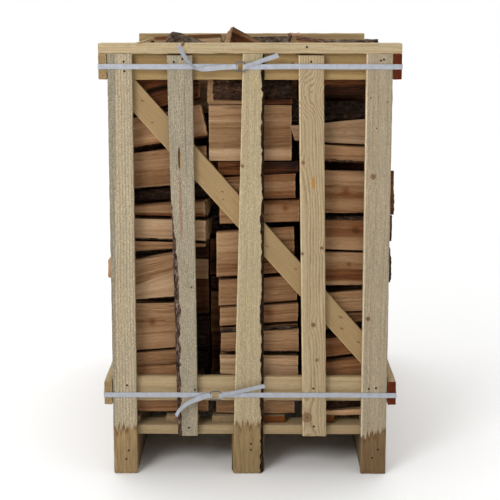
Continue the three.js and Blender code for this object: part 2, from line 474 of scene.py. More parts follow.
@dataclass(frozen=True)
class SawnFinish:
    """Rough-sawn softwood. Rings are cut from a tree whose heart lies off the board."""

    name: str
    pale: tuple = (0.46, 0.375, 0.25)
    line: tuple = (0.33, 0.24, 0.135)
    heart: tuple = (0.01, 0.045)
    slope: float = 0.0
    ring: float = 0.0046
    strength: float = 0.6
    grey: float = 0.25
    fuzz: float = 0.14
    drift: float = 0.012
    jag: float = 0.003
    fray_and_edge_highlight: float = 0.0
    weather: tuple = ()
    knots: tuple = ()
    streaks: tuple = ()
    damp: Union[Damp, None] = None
    bark: BarkTone = BarkTone()
    butt: tuple = (0.36, 0.24, 0.12)

    def rings(self, g: Graph, at: Grain) -> tuple:
        """The growth rings, pushed aside by the knots.

        Args:
            g: the graph to build in.
            at: the board's shared sockets.

        Returns:
            How much dark latewood shows, and (knot, distance) for each knot that is drawn.
        """
        wander = g.noise(at.where, (3.0, 18.0, 18.0))
        side = g.plus(g.mul_add(at.along, self.slope, -self.heart[0]), at.across)
        side = g.mul_add(wander, self.drift, side)
        side = g.mul_add(at.shiver, self.jag, side)
        radius = g.reach(side, g.plus(at.deep, self.heart[1]))
        drawn = []
        for knot in self.knots:
            ahead = g.minus(at.along, knot.along)
            reach = g.reach(ahead, g.minus(at.across, knot.across))
            long = g.mul_add(g.maths("ABSOLUTE", ahead), -0.45, reach)
            push = g.between(long, knot.radius * 0.6, knot.radius * 3.6, 1.0, 0.0)
            radius = g.mul_add(push, knot.radius * 0.95 * knot.swirl, radius)
            if knot.dark > 0:
                drawn.append((knot, reach))
        turn = g.turn(radius, self.ring)
        late = g.times(g.between(turn, 0.3, 0.84), g.between(turn, 0.9, 1.0, 1.0, 0.0))
        patchy = g.between(g.noise(at.where, (5.0, 60.0, 60.0)), 0.3, 0.7, 0.55, 1.0)
        return g.times(g.times(late, patchy), self.strength), drawn

    def aged(self, g: Graph, at: Grain, wood: Socket) -> Socket:
        """Warm patches, then grey weathering with its one-sided strip.

        Args:
            g: the graph to build in.
            at: the board's shared sockets.
            wood: the fresh colour.

        Returns:
            The colour socket.
        """
        warm = g.between(g.noise(at.where, (3.0, 40.0, 40.0), 3.0), 0.46, 0.74, 0.0, 0.35)
        wood = g.mixed(warm, wood, tuple(p * q for p, q in zip(self.pale, (0.93, 0.82, 0.68))))
        old = g.noise(at.where, (9.0, 60.0, 60.0), 4.0, 0.65)
        grey = g.between(old, 0.38, 0.68, self.grey * 0.3, self.grey)
        if self.weather:
            edge, lean = self.weather
            ragged = g.mul_add(at.shiver, 0.006, g.mul_add(at.along, -lean, at.across))
            strip = g.between(ragged, edge, edge + 0.003, 0.95, 0.0)
            mould = g.between(g.noise(at.where, 190.0, 4.0, 0.75), 0.38, 0.6, 0.5, 1.0)
            grey = g.maths("MAXIMUM", grey, g.times(strip, mould))
        return g.mixed(grey, wood, (0.225, 0.205, 0.15))

    def fuzzy(self, g: Graph, at: Grain, wood: Socket) -> tuple:
        """The speckle of saw fuzz, fine and coarse, and a pale line along one long edge: frayed fibre, partly a
        painted highlight where light catches the edge.

        Args:
            g: the graph to build in.
            at: the board's shared sockets.
            wood: the smooth colour.

        Returns:
            The colour socket, and the fine and the coarse pattern.
        """
        coarse = g.noise(at.where, (70.0, 280.0, 280.0), 3.0, 0.65)
        fibre = g.noise(at.where, (34.0, 1100.0, 1100.0), 2.0, 0.6)
        speck = g.noise(at.where, (330.0, 620.0, 620.0), 3.0, 0.7)
        grit = g.noise(at.where, (260.0, 420.0, 420.0), 3.0, 0.75)
        rows = g.noise(at.where, (7.0, 330.0, 330.0), 2.0, 0.6)
        rough = max(self.fuzz - 0.07, 0.02)
        for pattern, low, high, dark, light in (
            (rows, 0.3, 0.7, 0.1, 0.07), (coarse, 0.28, 0.72, self.fuzz * 0.8, self.fuzz * 0.6),
            (grit, 0.36, 0.64, rough * 2.2, rough * 1.9), (fibre, 0.25, 0.75, 0.08, 0.06),
            (speck, 0.3, 0.7, self.fuzz, self.fuzz * 0.6),
        ):
            wood = g.brighter(wood, g.between(pattern, low, high, 1.0 - dark, 1.0 + light))
        # painted highlight: one long edge is made paler, partly frayed fibre and partly the light that edge
        # catches
        if self.fray_and_edge_highlight:
            _, from_edge, _, _ = g.read("reach")
            frayed_lit_edge = g.mul_add(grit, 0.0022, from_edge)
            wood = g.brighter(wood, g.between(frayed_lit_edge, 0.0030, 0.0058, 1.0 + self.fray_and_edge_highlight, 1.0))
        return wood, speck, coarse

    def material(self) -> bpy.types.Material:
        """Build the finish.

        Returns:
            The Blender material.
        """
        g = Graph(self.name)
        where, along, across, deep = g.read("grain")
        _, barked, ended, _ = g.read("state")
        at = Grain(where, along, across, deep, g.noise(where, (14.0, 130.0, 130.0)))
        late, drawn = self.rings(g, at)
        wood = self.aged(g, at, g.mixed(late, self.pale, self.line))
        for knot, reach in drawn:
            wood = knot.draw(g, reach, wood)
        for streak in self.streaks:
            wood = streak.draw(g, at, wood)
        wood, speck, coarse = self.fuzzy(g, at, wood)
        if self.damp is not None:
            wood = self.damp.draw(g, at, wood)
        butt = g.brighter(self.butt, g.between(late, 0.1, 0.6, 1.12, 0.72))
        butt = g.brighter(butt, g.between(g.noise(where, 420.0, 3.0, 0.8), 0.3, 0.7, 0.5, 1.2))
        wood = g.mixed(ended, wood, butt)
        bark, crust = self.bark.look(g, where, 0.8)
        ragged = g.mul_add(g.noise(where, (60.0, 130.0, 130.0), 3.0), 0.6, barked)
        is_bark = g.between(ragged, 0.72, 0.86)
        g.give("Base Color", g.mixed(is_bark, wood, bark))
        saw = g.noise(where, (190.0, 9.0, 9.0))
        fine = g.plus(g.times(speck, 0.4), g.times(coarse, 0.4))
        normal = g.bump(g.plus(fine, g.times(saw, 0.2)), 0.6, 0.0011)
        g.give("Normal", g.bump(g.times(crust, is_bark), 0.9, 0.004, normal))
        g.give("Roughness", g.between(speck, 0.2, 0.8, 0.7, 0.92))
        return g.material


@dataclass(frozen=True)
class SplitFinish:
    """Split hardwood: fibrous faces, sawn ends with rings and drying cracks, and bark."""

    name: str = "split_hardwood"
    tones: tuple = (
        (0.0, (0.008, 0.004, 0.002)), (0.16, (0.05, 0.016, 0.005)), (0.3, (0.14, 0.051, 0.016)),
        (0.45, (0.195, 0.101, 0.045)), (0.6, (0.295, 0.173, 0.088)), (0.75, (0.395, 0.254, 0.143)),
        (0.9, (0.52, 0.362, 0.215)), (1.0, (0.63, 0.46, 0.29)),
    )
    bark: BarkTone = BarkTone()

    @staticmethod
    def crack(g: Graph, where: Socket) -> Socket:
        """Thin dark cracks that run with the grain, in a few places.

        Args:
            g: the graph to build in.
            where: the grain vector.

        Returns:
            The cracks' share, 0 to 1.
        """
        rare = g.between(g.noise(where, (4.0, 20.0, 20.0), 1.0), 0.56, 0.66)
        wave = g.noise(where, (3.2, 120.0, 120.0), 2.0, 0.5, 0.3)
        return g.times(g.between(g.gap(wave, 0.5), 0.0, 0.014, 1.0, 0.0), rare)

    @staticmethod
    def butt(g: Graph, at: tuple, wander: Socket, late: Socket) -> Socket:
        """The sawn end: rings, drying cracks from the heart outward, and saw fuzz.

        Args:
            g: the graph to build in.
            at: the grain sockets (vector, along, up, deep).
            wander: a slow noise that bends the cracks.
            late: the rings' dark share.

        Returns:
            The colour socket.
        """
        where, _, up, deep = at
        butt = g.mixed(g.between(late, 0.2, 0.9), (0.40, 0.262, 0.138), (0.26, 0.145, 0.068))
        radial = g.mul_add(wander, 0.7, g.times(g.maths("ARCTAN2", up, deep), 2.2))
        check = g.gap(g.maths("FRACT", radial), 0.5)
        butt = g.mixed(g.between(check, 0.0, 0.022, 0.85, 0.0), butt, (0.05, 0.028, 0.017))
        return g.brighter(butt, g.between(g.noise(where, 300.0, 3.0, 0.7), 0.3, 0.7, 0.7, 1.15))

    def material(self) -> bpy.types.Material:
        """Build the finish.

        Returns:
            The Blender material.
        """
        g = Graph(self.name)
        at = where, _, up, deep = g.read("grain")
        _, barked, ended, _ = g.read("state")
        _, hue, level, ring = g.read("tint")
        _, from_knot, over_knot, knot = g.read("knot")
        wander = g.noise(where, (5.0, 30.0, 30.0), 3.0, 0.55)
        shiver = g.noise(where, (16.0, 190.0, 190.0), 3.0, 0.6)
        radius = g.mul_add(shiver, 0.003, g.mul_add(wander, 0.018, g.reach(up, deep)))
        reach = g.over(g.reach(from_knot, over_knot), knot)
        narrow = g.over(g.reach(g.times(from_knot, 0.4), over_knot), knot)
        radius = g.mul_add(g.between(narrow, 0.5, 3.2, 1.0, 0.0), g.times(knot, 1.3), radius)
        turn = g.turn(radius, ring)
        late = g.times(g.between(turn, 0.25, 0.85), g.between(turn, 0.88, 1.0, 1.0, 0.0))
        broad = g.noise(where, (1.0, 17.0, 17.0))
        bands = g.noise(where, (1.6, 40.0, 40.0), 3.0, 0.5, 0.25)
        fibre = g.noise(where, (9.0, 300.0, 300.0), 3.0, 0.65)
        fine = g.noise(where, (60.0, 900.0, 900.0), 2.0, 0.6)
        tone = level
        for pattern, low, high, dark, light in (
            (broad, 0.3, 0.7, -0.07, 0.07), (bands, 0.3, 0.7, -0.075, 0.07),
            (fibre, 0.25, 0.75, -0.055, 0.045), (fine, 0.3, 0.7, -0.05, 0.04),
        ):
            tone = g.plus(tone, g.between(pattern, low, high, dark, light))
        slit = self.crack(g, where)
        for mark, change in ((late, -0.05), (g.between(reach, 0.9, 2.6, 1.0, 0.0), -0.1), (slit, -0.24)):
            tone = g.mul_add(mark, change, tone)
        soil = g.noise(where, (14.0, 30.0, 30.0), 4.0, 0.7)
        wood = g.ramp(g.minus(tone, g.between(soil, 0.58, 0.8, 0.0, 0.16)), self.tones)
        redder = g.times(hue, g.between(broad, 0.3, 0.7, 1.0, 0.5))
        wood = g.mixed(redder, wood, g.scaled(wood, (1.05, 0.86, 0.72)))
        rings = g.between(g.maths("FRACT", g.times(reach, 3.0)), 0.3, 0.9)
        core = g.mixed(rings, (0.13, 0.05, 0.02), (0.05, 0.02, 0.01))
        wood = g.mixed(g.between(reach, 0.5, 1.0, 0.65, 0.0), wood, core)
        wood = g.mixed(g.between(narrow, 1.0, 2.4, 0.25, 0.0), wood, g.scaled(wood, (1.0, 0.75, 0.5)))
        bark, crust = self.bark.look(g, where, g.times(hue, 0.6))
        bark = g.mixed(hue, bark, g.scaled(bark, (1.35, 0.6, 0.3)))
        # the bark follows the log's level, including any painted shade in it
        bark = g.brighter(bark, g.mul_add(level, 1.7, 0.1))
        ragged = g.mul_add(g.noise(where, (50.0, 100.0, 100.0), 3.0), 0.7, barked)
        is_bark = g.between(ragged, 0.8, 0.9)
        wood = g.mixed(g.between(ragged, 0.62, 0.78, 0.0, 0.75), wood, (0.085, 0.03, 0.01))
        wood = g.mixed(ended, wood, self.butt(g, at, wander, late))
        g.give("Base Color", g.mixed(is_bark, wood, bark))
        relief = g.minus(g.plus(g.times(fibre, 0.3), g.times(bands, 0.3)), g.times(slit, 0.5))
        normal = g.bump(relief, 0.7, 0.002)
        g.give("Normal", g.bump(g.times(crust, is_bark), 1.0, 0.005, normal))
        g.give("Roughness", 0.82)
        return g.material


@dataclass(frozen=True)
class StrapFinish:
    """White polyester strap: fine ribs along its length and a woven crossing, with a slight sheen."""

    name: str = "woven_strap"
    white: tuple = (0.44, 0.462, 0.512)
    dull: tuple = (0.385, 0.395, 0.425)
    rib: float = 0.0013
    stitch: float = 0.0021

    def material(self) -> bpy.types.Material:
        """Build the finish.

        Returns:
            The Blender material.
        """
        g = Graph(self.name)
        where, along, across, _ = g.read("grain")
        ribs = g.maths("SINE", g.times(across, 2 * math.pi / self.rib))
        knit = g.maths("SINE", g.times(along, 2 * math.pi / self.stitch))
        soft = g.noise(where, 60.0, 3.0, 0.6)
        colour = g.mixed(g.between(soft, 0.35, 0.7), self.white, self.dull)
        colour = g.brighter(colour, g.between(ribs, -1.0, 0.2, 0.84, 1.0))
        colour = g.brighter(colour, g.between(g.maths("ABSOLUTE", across), 0.006, 0.0072, 1.0, 0.85))
        g.give("Base Color", colour)
        g.give("Normal", g.bump(g.plus(g.times(ribs, 0.7), g.times(knit, 0.3)), 0.5, 0.0003))
        g.give("Roughness", g.between(soft, 0.3, 0.7, 0.4, 0.58))
        return g.material


@dataclass(frozen=True)
class WireFinish:
    """Dull zinc-coated wire, or the dark iron of the nails."""

    name: str
    colour: tuple = (0.2, 0.21, 0.22)
    metal: float = 1.0
    rough: tuple = (0.3, 0.5)

    def material(self) -> bpy.types.Material:
        """Build the finish.

        Returns:
            The Blender material.
        """
        g = Graph(self.name)
        where, *_ = g.read("grain")
        spots = g.noise(where, 600.0, 3.0, 0.6)
        dull = tuple(0.5 * c for c in self.colour)
        g.give("Base Color", g.mixed(g.between(spots, 0.4, 0.7), self.colour, dull))
        g.give("Roughness", g.between(spots, 0.3, 0.7, *self.rough))
        g.give("Normal", g.bump(spots, 0.3, 0.0002))
        g.give("Metallic", self.metal)
        return g.material


Finish = Union[SawnFinish, SplitFinish, StrapFinish, WireFinish]


class MaterialShelf:
    """Builds each finish once and hands out its material."""

    def __init__(self) -> None:
        """Start with an empty shelf."""
        self.made: dict = {}

    def __call__(self, finish: Finish) -> bpy.types.Material:
        """The material of a finish, built the first time it is asked for.

        Args:
            finish: the finish.

        Returns:
            Its material.
        """
        if finish.name not in self.made:
            self.made[finish.name] = finish.material()
        return self.made[finish.name]


MATERIALS = MaterialShelf()


# ---------------------------------------------------------------- mesh building


def ripples(rng: Random, u: np.ndarray, v: np.ndarray, long_u: float, long_v: float) -> np.ndarray:
    """Smooth seeded waves over two directions, about -1 to 1.

    Args:
        rng: the random source.
        u: first coordinate, in metres.
        v: second coordinate, in metres.
        long_u: usual wave length along u.
        long_v: usual wave length along v.

    Returns:
        The height at each point.
    """
    count = 7
    total = 0.0
    for _ in range(count):
        fu = rng.uniform(-1.4, 1.4) / long_u
        fv = rng.uniform(0.5, 1.6) * rng.choice((-1, 1)) / long_v
        total = total + np.sin(2 * math.pi * (u * fu + v * fv + rng.random()))
    return total / math.sqrt(count)


def waves(rng: Random, u: np.ndarray, long: float) -> np.ndarray:
    """Ripples that change along one coordinate only, with their usual wave length."""
    return ripples(rng, u, u * 0, long, 1.0)


def unit(vectors: np.ndarray) -> np.ndarray:
    """Each row scaled to length one."""
    return vectors / np.linalg.norm(vectors, axis=1)[:, None]


@dataclass
class Bundle:
    """Lofted closed bodies that become one mesh object."""

    name: str
    points: list = field(default_factory=list)
    layers: dict = field(default_factory=dict)
    barks: list = field(default_factory=list)
    faces: list = field(default_factory=list)
    ends: list = field(default_factory=list)
    count: int = 0

    def add(self, points: np.ndarray, bark: Union[np.ndarray, float] = 0.0, cap_rings: int = 2,
            rough: Union[Random, None] = None, **layers: np.ndarray) -> None:
        """Add one closed body made of cross-sections.

        Args:
            points: (stations, around, 3) places in metres.
            bark: (stations, around) share of bark, or one number.
            cap_rings: rings in each end face.
            rough: random source for rough ends, or None for flat ones.
            layers: named vectors that the finish reads, each shaped like points.
        """
        stations, around, _ = points.shape
        areas = np.cross(points[1:, :] - points[:-1, :], np.roll(points, -1, 1)[:-1] - points[:-1])
        outward = np.einsum("ijk,ijk->", areas, points[:-1] - points.mean((0, 1))) > 0
        layers = {"": points, **layers}
        stacks = {name: [values.reshape(-1, 3)] for name, values in layers.items()}
        i = np.arange(around)
        j = np.roll(i, -1)
        rows = self.count + around * np.arange(stations)[:, None] + i
        sides = np.stack([rows[:-1], rows[1:], rows[1:, j], rows[:-1, j]], 2).reshape(-1, 4)
        quads, triangles = [sides if outward else sides[:, ::-1]], []
        free = self.count + stations * around
        run = points[-1].mean(0) - points[0].mean(0)
        run = run / np.linalg.norm(run)
        for s, kept in ((0, outward), (stations - 1, not outward)):
            rims = {name: values[s] for name, values in layers.items()}
            walls, fan = self.close(stacks, rims, rows[s], free, cap_rings, rough, run)
            quads.append(walls if kept else walls[:, ::-1])
            triangles.append(fan if kept else fan[:, ::-1])
            free += cap_rings * around + 1
        for name, stack in stacks.items():
            place = self.layers.setdefault(name, []) if name else self.points
            place.append(np.concatenate(stack))
        all_bark = np.zeros(free - self.count)
        all_bark[:stations * around] = np.broadcast_to(bark, (stations, around)).reshape(-1)
        self.barks.append(all_bark)
        self.faces.append((np.concatenate(quads), np.concatenate(triangles)))
        self.ends.append(np.repeat((0.0, 1.0), (len(sides), 2 * cap_rings * around)))
        self.count = free

    @staticmethod
    def close(stacks: dict, rims: dict, last: np.ndarray, free: int, rings: int, rough: Union[Random, None],
              run: np.ndarray) -> tuple:
        """Close one end of a body with rings of quads and a fan in the middle.

        Args:
            stacks: the lists that the end's new points and layer values join.
            rims: the outer ring of each of them.
            last: the numbers of the outer ring's points.
            free: the number of the first new point.
            rings: how many rings there are.
            rough: random source for a rough end, or None for a flat one.
            run: the body's direction.

        Returns:
            The rings' quads and the fan's triangles.
        """
        around = len(last)
        i = np.arange(around)
        j = np.roll(i, -1)
        walls = []
        for k in range(1, rings + 1):
            share = 1 - k / (rings + 1)
            for name, rim in rims.items():
                ring = rim.mean(0) + (rim - rim.mean(0)) * share
                if rough is not None and not name:
                    ring = ring + run * rough.normal(0, SAW_TEETH, (around, 1))
                stacks[name].append(ring)
            here = free + i
            free += around
            walls.append(np.stack([last, last[j], here[j], here], 1))
            last = here
        for name, rim in rims.items():
            stacks[name].append(rim.mean(0)[None])
        return np.concatenate(walls), np.stack([last, last[j], np.full(around, free)], 1)

    def build(self, finish: Finish, slot: str, replaces: tuple = (), sharp: float = 36.0) -> None:
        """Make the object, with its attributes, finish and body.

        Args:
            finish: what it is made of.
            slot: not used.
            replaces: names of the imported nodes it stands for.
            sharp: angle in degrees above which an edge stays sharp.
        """
        points = np.concatenate(self.points)
        quads = np.concatenate([f[0] for f in self.faces])
        tris = np.concatenate([f[1] for f in self.faces])
        corners = np.concatenate([quads.ravel(), tris.ravel()])
        mesh = bpy.data.meshes.new(self.name)
        mesh.vertices.add(len(points))
        mesh.vertices.foreach_set("co", points.astype(np.float32).ravel())
        mesh.loops.add(len(corners))
        mesh.loops.foreach_set("vertex_index", corners.astype(np.int32))
        starts = np.concatenate([np.arange(len(quads)) * 4, quads.size + np.arange(len(tris)) * 3])
        mesh.polygons.add(len(quads) + len(tris))
        mesh.polygons.foreach_set("loop_start", starts.astype(np.int32))
        mesh.update(calc_edges=True)
        mesh.validate()
        mesh.shade_smooth()
        mesh.set_sharp_from_angle(angle=math.radians(sharp))
        states = np.zeros((len(corners), 3))
        states[:, 0] = np.concatenate(self.barks)[corners]
        states[:, 1] = np.concatenate([np.repeat(np.concatenate(self.ends), 4), np.ones(tris.size)])
        stored = [("state", "CORNER", states)]
        stored += [(name, "POINT", np.concatenate(values)) for name, values in self.layers.items()]
        for name, domain, values in stored:
            layer = mesh.attributes.new(name, "FLOAT_VECTOR", domain)
            layer.data.foreach_set("vector", values.astype(np.float32).ravel())
        thing = bpy.data.objects.new(self.name, mesh)
        bpy.context.scene.collection.objects.link(thing)
        mesh.materials.append(MATERIALS(finish))
        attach(thing, BODY)
        if replaces:
            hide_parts(*replaces)
        LOG.info("%s: %d faces", self.name, len(mesh.polygons))


@dataclass(frozen=True)
class Wane:
    """A waney, bark-covered long edge of a board: (place along the board, width) pairs."""

    side: int
    widths: tuple
    ragged: float = 0.0018


@dataclass
class Board:
    """A sawn board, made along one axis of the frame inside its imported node's box."""

    node: str
    along: Axis
    face: Axis
    outward: int
    step: float = 0.012
    wane: Union[Wane, None] = None
    chips: tuple = ()
    edge: float = EASED
    seed: int = 0
    heel: float = 0.0

    def edges(self) -> tuple:
        """Where the board's two long edges are at its start and end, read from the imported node.

        Returns:
            Start, end, (low edge, high edge) at the start and at the end, outer face, inner face and the
            number of the third axis.
        """
        co = np.array([v.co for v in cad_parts[self.node].data.vertices])
        third = ({0, 1, 2} - {self.along.value, self.face.value}).pop()
        run, wide, thick = co[:, self.along.value], co[:, third], co[:, self.face.value]
        lo, hi = run.min(), run.max()
        first = wide[run < lo + SAME]
        last = wide[run > hi - SAME]
        outer, inner = (thick.min(), thick.max()) if self.outward < 0 else (thick.max(), thick.min())
        return lo, hi, (first.min(), first.max()), (last.min(), last.max()), outer, inner, third

    def add_to(self, bundle: Bundle) -> None:
        """Loft the board into a bundle.

        Args:
            bundle: the mesh that it becomes part of.
        """
        rng = np.random.default_rng(self.seed + 11)
        lo, hi, first, last, outer, inner, third = self.edges()
        t = np.linspace(0, 1, max(4, int((hi - lo) / self.step)) + 1)
        run = lo + (hi - lo) * t
        left = first[0] + (last[0] - first[0]) * t
        right = first[1] + (last[1] - first[1]) * t
        left_front = left + 0.0003 + 0.0004 * waves(rng, run, 0.07)
        right_front = right - 0.0003 - 0.0004 * waves(rng, run, 0.07)
        if self.wane is not None:
            depth = np.interp(run, *zip(*self.wane.widths))
            rough = self.wane.ragged * (waves(rng, run, 0.05) + 0.7 * waves(rng, run, 0.017))
            depth = np.clip(depth + rough * (depth > 0.001), 0, None)
            if self.wane.side < 0:
                left_front = left + depth
            else:
                right_front = right - depth
        thick = abs(inner - outer)
        flats = max(3, int(np.mean(right - left) / max(self.step * 0.6, 0.006)))
        shares = np.linspace(0, 1, flats + 1)
        inset = self.edge * np.isin(np.arange(flats + 1), (0, flats))
        rows = [(left_front * (1 - s) + right_front * s + e * (1 - 2 * s), 0.0, 0.0)
                for s, e in zip(shares, inset)]
        side = 0 if self.wane is None else self.wane.side
        rows += self.flank(right_front, right, thick, side > 0)
        rows += [(left * s + right * (1 - s) - e * (1 - 2 * s), thick, 0.0) for s, e in zip(shares, inset)]
        rows += self.flank(left_front, left, thick, side < 0)[::-1]
        wide = np.stack([r[0] for r in rows], 1)
        deep = np.stack([r[1] + 0.0 * run for r in rows], 1)
        bark = np.stack([r[2] + 0.0 * run for r in rows], 1)
        length = np.repeat(run[:, None], wide.shape[1], 1)
        skin = np.abs(ripples(rng, length, wide, 0.16, 0.03)) * 0.0004
        skin += np.abs(ripples(rng, length, wide, 0.012, 0.05)) * 0.00018
        deep = np.where(deep < thick / 2, deep + skin, deep - skin * 0.5)
        crust = bark * np.abs(ripples(rng, length, deep, 0.02, 0.008)) * 0.0013
        wide = wide + np.where(wide > (left + right)[:, None] / 2, -crust, crust)
        for chip in self.chips:
            wide, deep = self.chipped(rng, chip, length, right[:, None], wide, deep)
        points = np.zeros((*wide.shape, 3))
        points[..., self.along.value] = length
        points[..., third] = wide
        points[..., self.face.value] = outer + (1 if inner > outer else -1) * deep
        points[0, :, self.along.value] += self.heel * np.abs(waves(rng, wide[0], 0.02))
        grain = np.stack([length, wide - ((left + right) / 2)[:, None], deep], 2)
        edge = np.stack([wide - left[:, None], right[:, None] - wide, deep], 2)
        bundle.add(points, bark, rough=rng, grain=grain, reach=edge)

    @staticmethod
    def chipped(rng: Random, chip: tuple, length: np.ndarray, right: np.ndarray, wide: np.ndarray,
                deep: np.ndarray) -> tuple:
        """Break one splinter out of the upper front edge.

        Args:
            rng: the random source.
            chip: its middle along the board, its half length and how deep it bites.
            length: the points' places along the board.
            right: the upper edge at each station.
            wide: the points' places across the board.
            deep: their depths behind the outer face.

        Returns:
            The changed wide and deep.
        """
        middle, half, bite = chip
        gone = bite * np.clip(1 - np.abs(length - middle) / half, 0, 1) ** 0.5
        gone = np.clip(gone * (0.65 + 0.35 * waves(rng, length, 0.012)), 0, None)
        reach = np.clip(1 - (right - wide) / 0.010, 0, 1)
        deep = np.where(deep < 0.004, deep + gone * reach, deep)
        return wide - np.where(deep < 0.012, gone * reach * 0.6, 0.0), deep

    def flank(self, front: np.ndarray, back: np.ndarray, thick: float, waney: bool) -> list:
        """The points down one long edge, from the outer face to the inner one.

        Args:
            front: the edge's place at the outer face, at each station.
            back: its place at the inner face.
            thick: the board's thickness.
            waney: whether bark covers it.

        Returns:
            A list of (place, depth, bark) rows.
        """
        start = self.edge / thick
        rows = []
        for s in np.linspace(start, 1 - start, 6 if waney else 3):
            curve = math.sin(s * math.pi / 2) if waney else s
            rows.append((front + (back - front) * curve, thick * s, 1.0 if waney else 0.0))
        return rows

    def build(self, finish: SawnFinish, slot: str) -> None:
        """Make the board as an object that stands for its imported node.

        Args:
            finish: its finish.
            slot: the record's slot.
        """
        bundle = Bundle(self.node + "_board")
        self.add_to(bundle)
        bundle.build(finish, slot, (self.node,), BOARD_SHARP)


@dataclass
class TornCap(Board):
    """The front cap, with slivers of wood standing up where its upper edge is torn."""

    chips: tuple = ((-0.362, 0.012, 0.003), (-0.338, 0.022, 0.005), (0.37, 0.01, 0.002))
    slivers: tuple = (
        (-0.336, 0.062, 0.019, 0.030), (-0.352, 0.040, 0.006, 0.012), (-0.318, 0.03, 0.004, 0.016),
    )
    half: float = 0.0028

    def add_to(self, bundle: Bundle) -> None:
        """Loft the board into a bundle, then its slivers.

        Args:
            bundle: the mesh that they become part of.
        """
        super().add_to(bundle)
        low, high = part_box(self.node)
        t = np.linspace(0, 1, 9)[:, None]
        a = np.linspace(0, 2 * math.pi, 8, endpoint=False)[None]
        half = self.half * np.sin(math.pi * np.clip(0.12 + 0.86 * t, 0, 1)) + 0.0003
        for x, long, rise, deep in self.slivers:
            points = np.stack([x + long * t + 0 * a, low.y + 0.003 + deep * t + half * np.cos(a) * 2.2,
                               high.z - 0.004 + rise * t**1.4 + half * np.sin(a)], 2)
            bundle.add(points, cap_rings=1, grain=points.copy(), reach=np.full(points.shape, 0.01))


# ---------------------------------------------------------------- the crate's boards


KNOTS_4 = (
    Knot(0.922, -0.0255, 0.0055, 0.35), Knot(0.676, 0.0248, 0.004, 0.8), Knot(0.450, -0.001, 0.0055, 0.7),
    Knot(0.345, 0.0085, 0.0045, 0.45), Knot(0.172, -0.022, 0.0145, 0.35, 0.8),
    Knot(1.104, 0.0165, 0.011, 0.0, 1.6), Knot(1.121, -0.0345, 0.013, 0.0, 2.2),
    Knot(0.659, -0.0305, 0.0035, 0.9),
)
FRONT_SLATS = {
    1: SawnFinish("slat_1_wood", (0.482, 0.402, 0.275), (0.32, 0.225, 0.12), heart=(0.14, 0.02),
                  strength=0.85, ring=0.0085, grey=0.2, fuzz=0.215, drift=0.006, weather=(-0.029, 0.0165),
                  damp=Damp(0.142, 0.055, 0.0, (0.27, 0.172, 0.073))),
    2: SawnFinish("slat_2_wood", (0.405, 0.345, 0.247), (0.29, 0.225, 0.145), heart=(-0.09, 0.03),
                  slope=0.01, strength=0.7, grey=0.5, fuzz=0.215, drift=0.008,
                  knots=(Knot(0.56, 0.02, 0.003, 0.8),),
                  streaks=(Streak(0.935, -0.0065, 0.072, 0.008),
                           Streak(0.79, -0.0055, 0.21, 0.009, (0.31, 0.195, 0.135), 0.95),
                           Streak(0.925, -0.0025, 0.06, 0.0045, (0.45, 0.25, 0.09), 0.8),
                           Streak(1.03, 0.0125, 0.36, 0.0022, (0.16, 0.095, 0.05), 0.7)),
                  bark=BarkTone((0.012, 0.007, 0.006), (0.15, 0.08, 0.058), (0.42, 0.29, 0.21),
                                (0.26, 0.13, 0.085), 0.85)),
    3: SawnFinish("slat_3_wood", (0.455, 0.367, 0.224), (0.355, 0.265, 0.14), heart=(-0.03, 0.13),
                  strength=0.5, grey=0.14, fuzz=0.18, fray_and_edge_highlight=0.3, knots=(Knot(0.912, -0.028, 0.005, 0.35),),
                  damp=Damp(0.154, 0.06, 0.0, (0.235, 0.152, 0.063)),
                  bark=BarkTone((0.005, 0.003, 0.002), (0.034, 0.015, 0.006), (0.095, 0.045, 0.018),
                                (0.3, 0.18, 0.08), 0.8)),
    4: SawnFinish("slat_4_wood", (0.435, 0.338, 0.203), (0.245, 0.145, 0.06), heart=(0.004, 0.014),
                  slope=0.024, ring=0.0072, strength=0.8, grey=0.1, fuzz=0.11, drift=0.03, jag=0.006,
                  fray_and_edge_highlight=0.5, knots=KNOTS_4,
                  streaks=(Streak(0.864, 0.0035, 0.042, 0.010, (0.42, 0.19, 0.04)),)),
    5: SawnFinish("slat_5_wood", (0.405, 0.327, 0.222), (0.28, 0.205, 0.12), heart=(0.008, 0.022),
                  slope=-0.014, ring=0.007, strength=0.55, grey=0.3, fuzz=0.17, drift=0.02, fray_and_edge_highlight=0.85,
                  knots=(Knot(0.882, -0.0136, 0.0078, 0.4), Knot(0.468, -0.0215, 0.0055, 0.85),
                         Knot(1.093, 0.0235, 0.002, 0.9), Knot(1.019, -0.0055, 0.002, 0.9),
                         Knot(1.105, -0.0235, 0.002, 0.9)),
                  damp=Damp(0.124, 0.045, -0.35, (0.135, 0.072, 0.024))),
}
PLAIN_SLATS = (
    SawnFinish("slat_wood_a", heart=(0.02, 0.05), slope=0.02, strength=0.5, grey=0.4,
               knots=(Knot(0.43, 0.012, 0.008, 0.7), Knot(0.86, -0.02, 0.006, 0.5)), damp=Damp(0.12, 0.02)),
    SawnFinish("slat_wood_b", (0.44, 0.37, 0.255), heart=(-0.08, 0.03), strength=0.45, grey=0.3,
               knots=(Knot(0.66, -0.01, 0.007, 0.6),)),
    SawnFinish("slat_wood_c", (0.47, 0.375, 0.235), heart=(-0.02, 0.02), slope=-0.018, ring=0.0055,
               strength=0.65, grey=0.18,
               knots=(Knot(0.31, 0.018, 0.010, 0.5), Knot(0.98, -0.012, 0.006, 0.6))),
)
RAIL = SawnFinish("rail_wood", (0.375, 0.253, 0.109), (0.3, 0.18, 0.07), heart=(0.012, 0.06), slope=0.03,
                  ring=0.007, strength=0.6, grey=0.03, fuzz=0.06, butt=(0.30, 0.185, 0.085),
                  knots=(Knot(0.12, 0.01, 0.004, 0.5), Knot(-0.21, -0.014, 0.005, 0.4)))
LOW_RAIL = SawnFinish("low_rail_wood", (0.47, 0.355, 0.2), (0.34, 0.225, 0.105), heart=(0.02, 0.05),
                      slope=0.02, ring=0.006, strength=0.7, grey=0.06, fuzz=0.07)
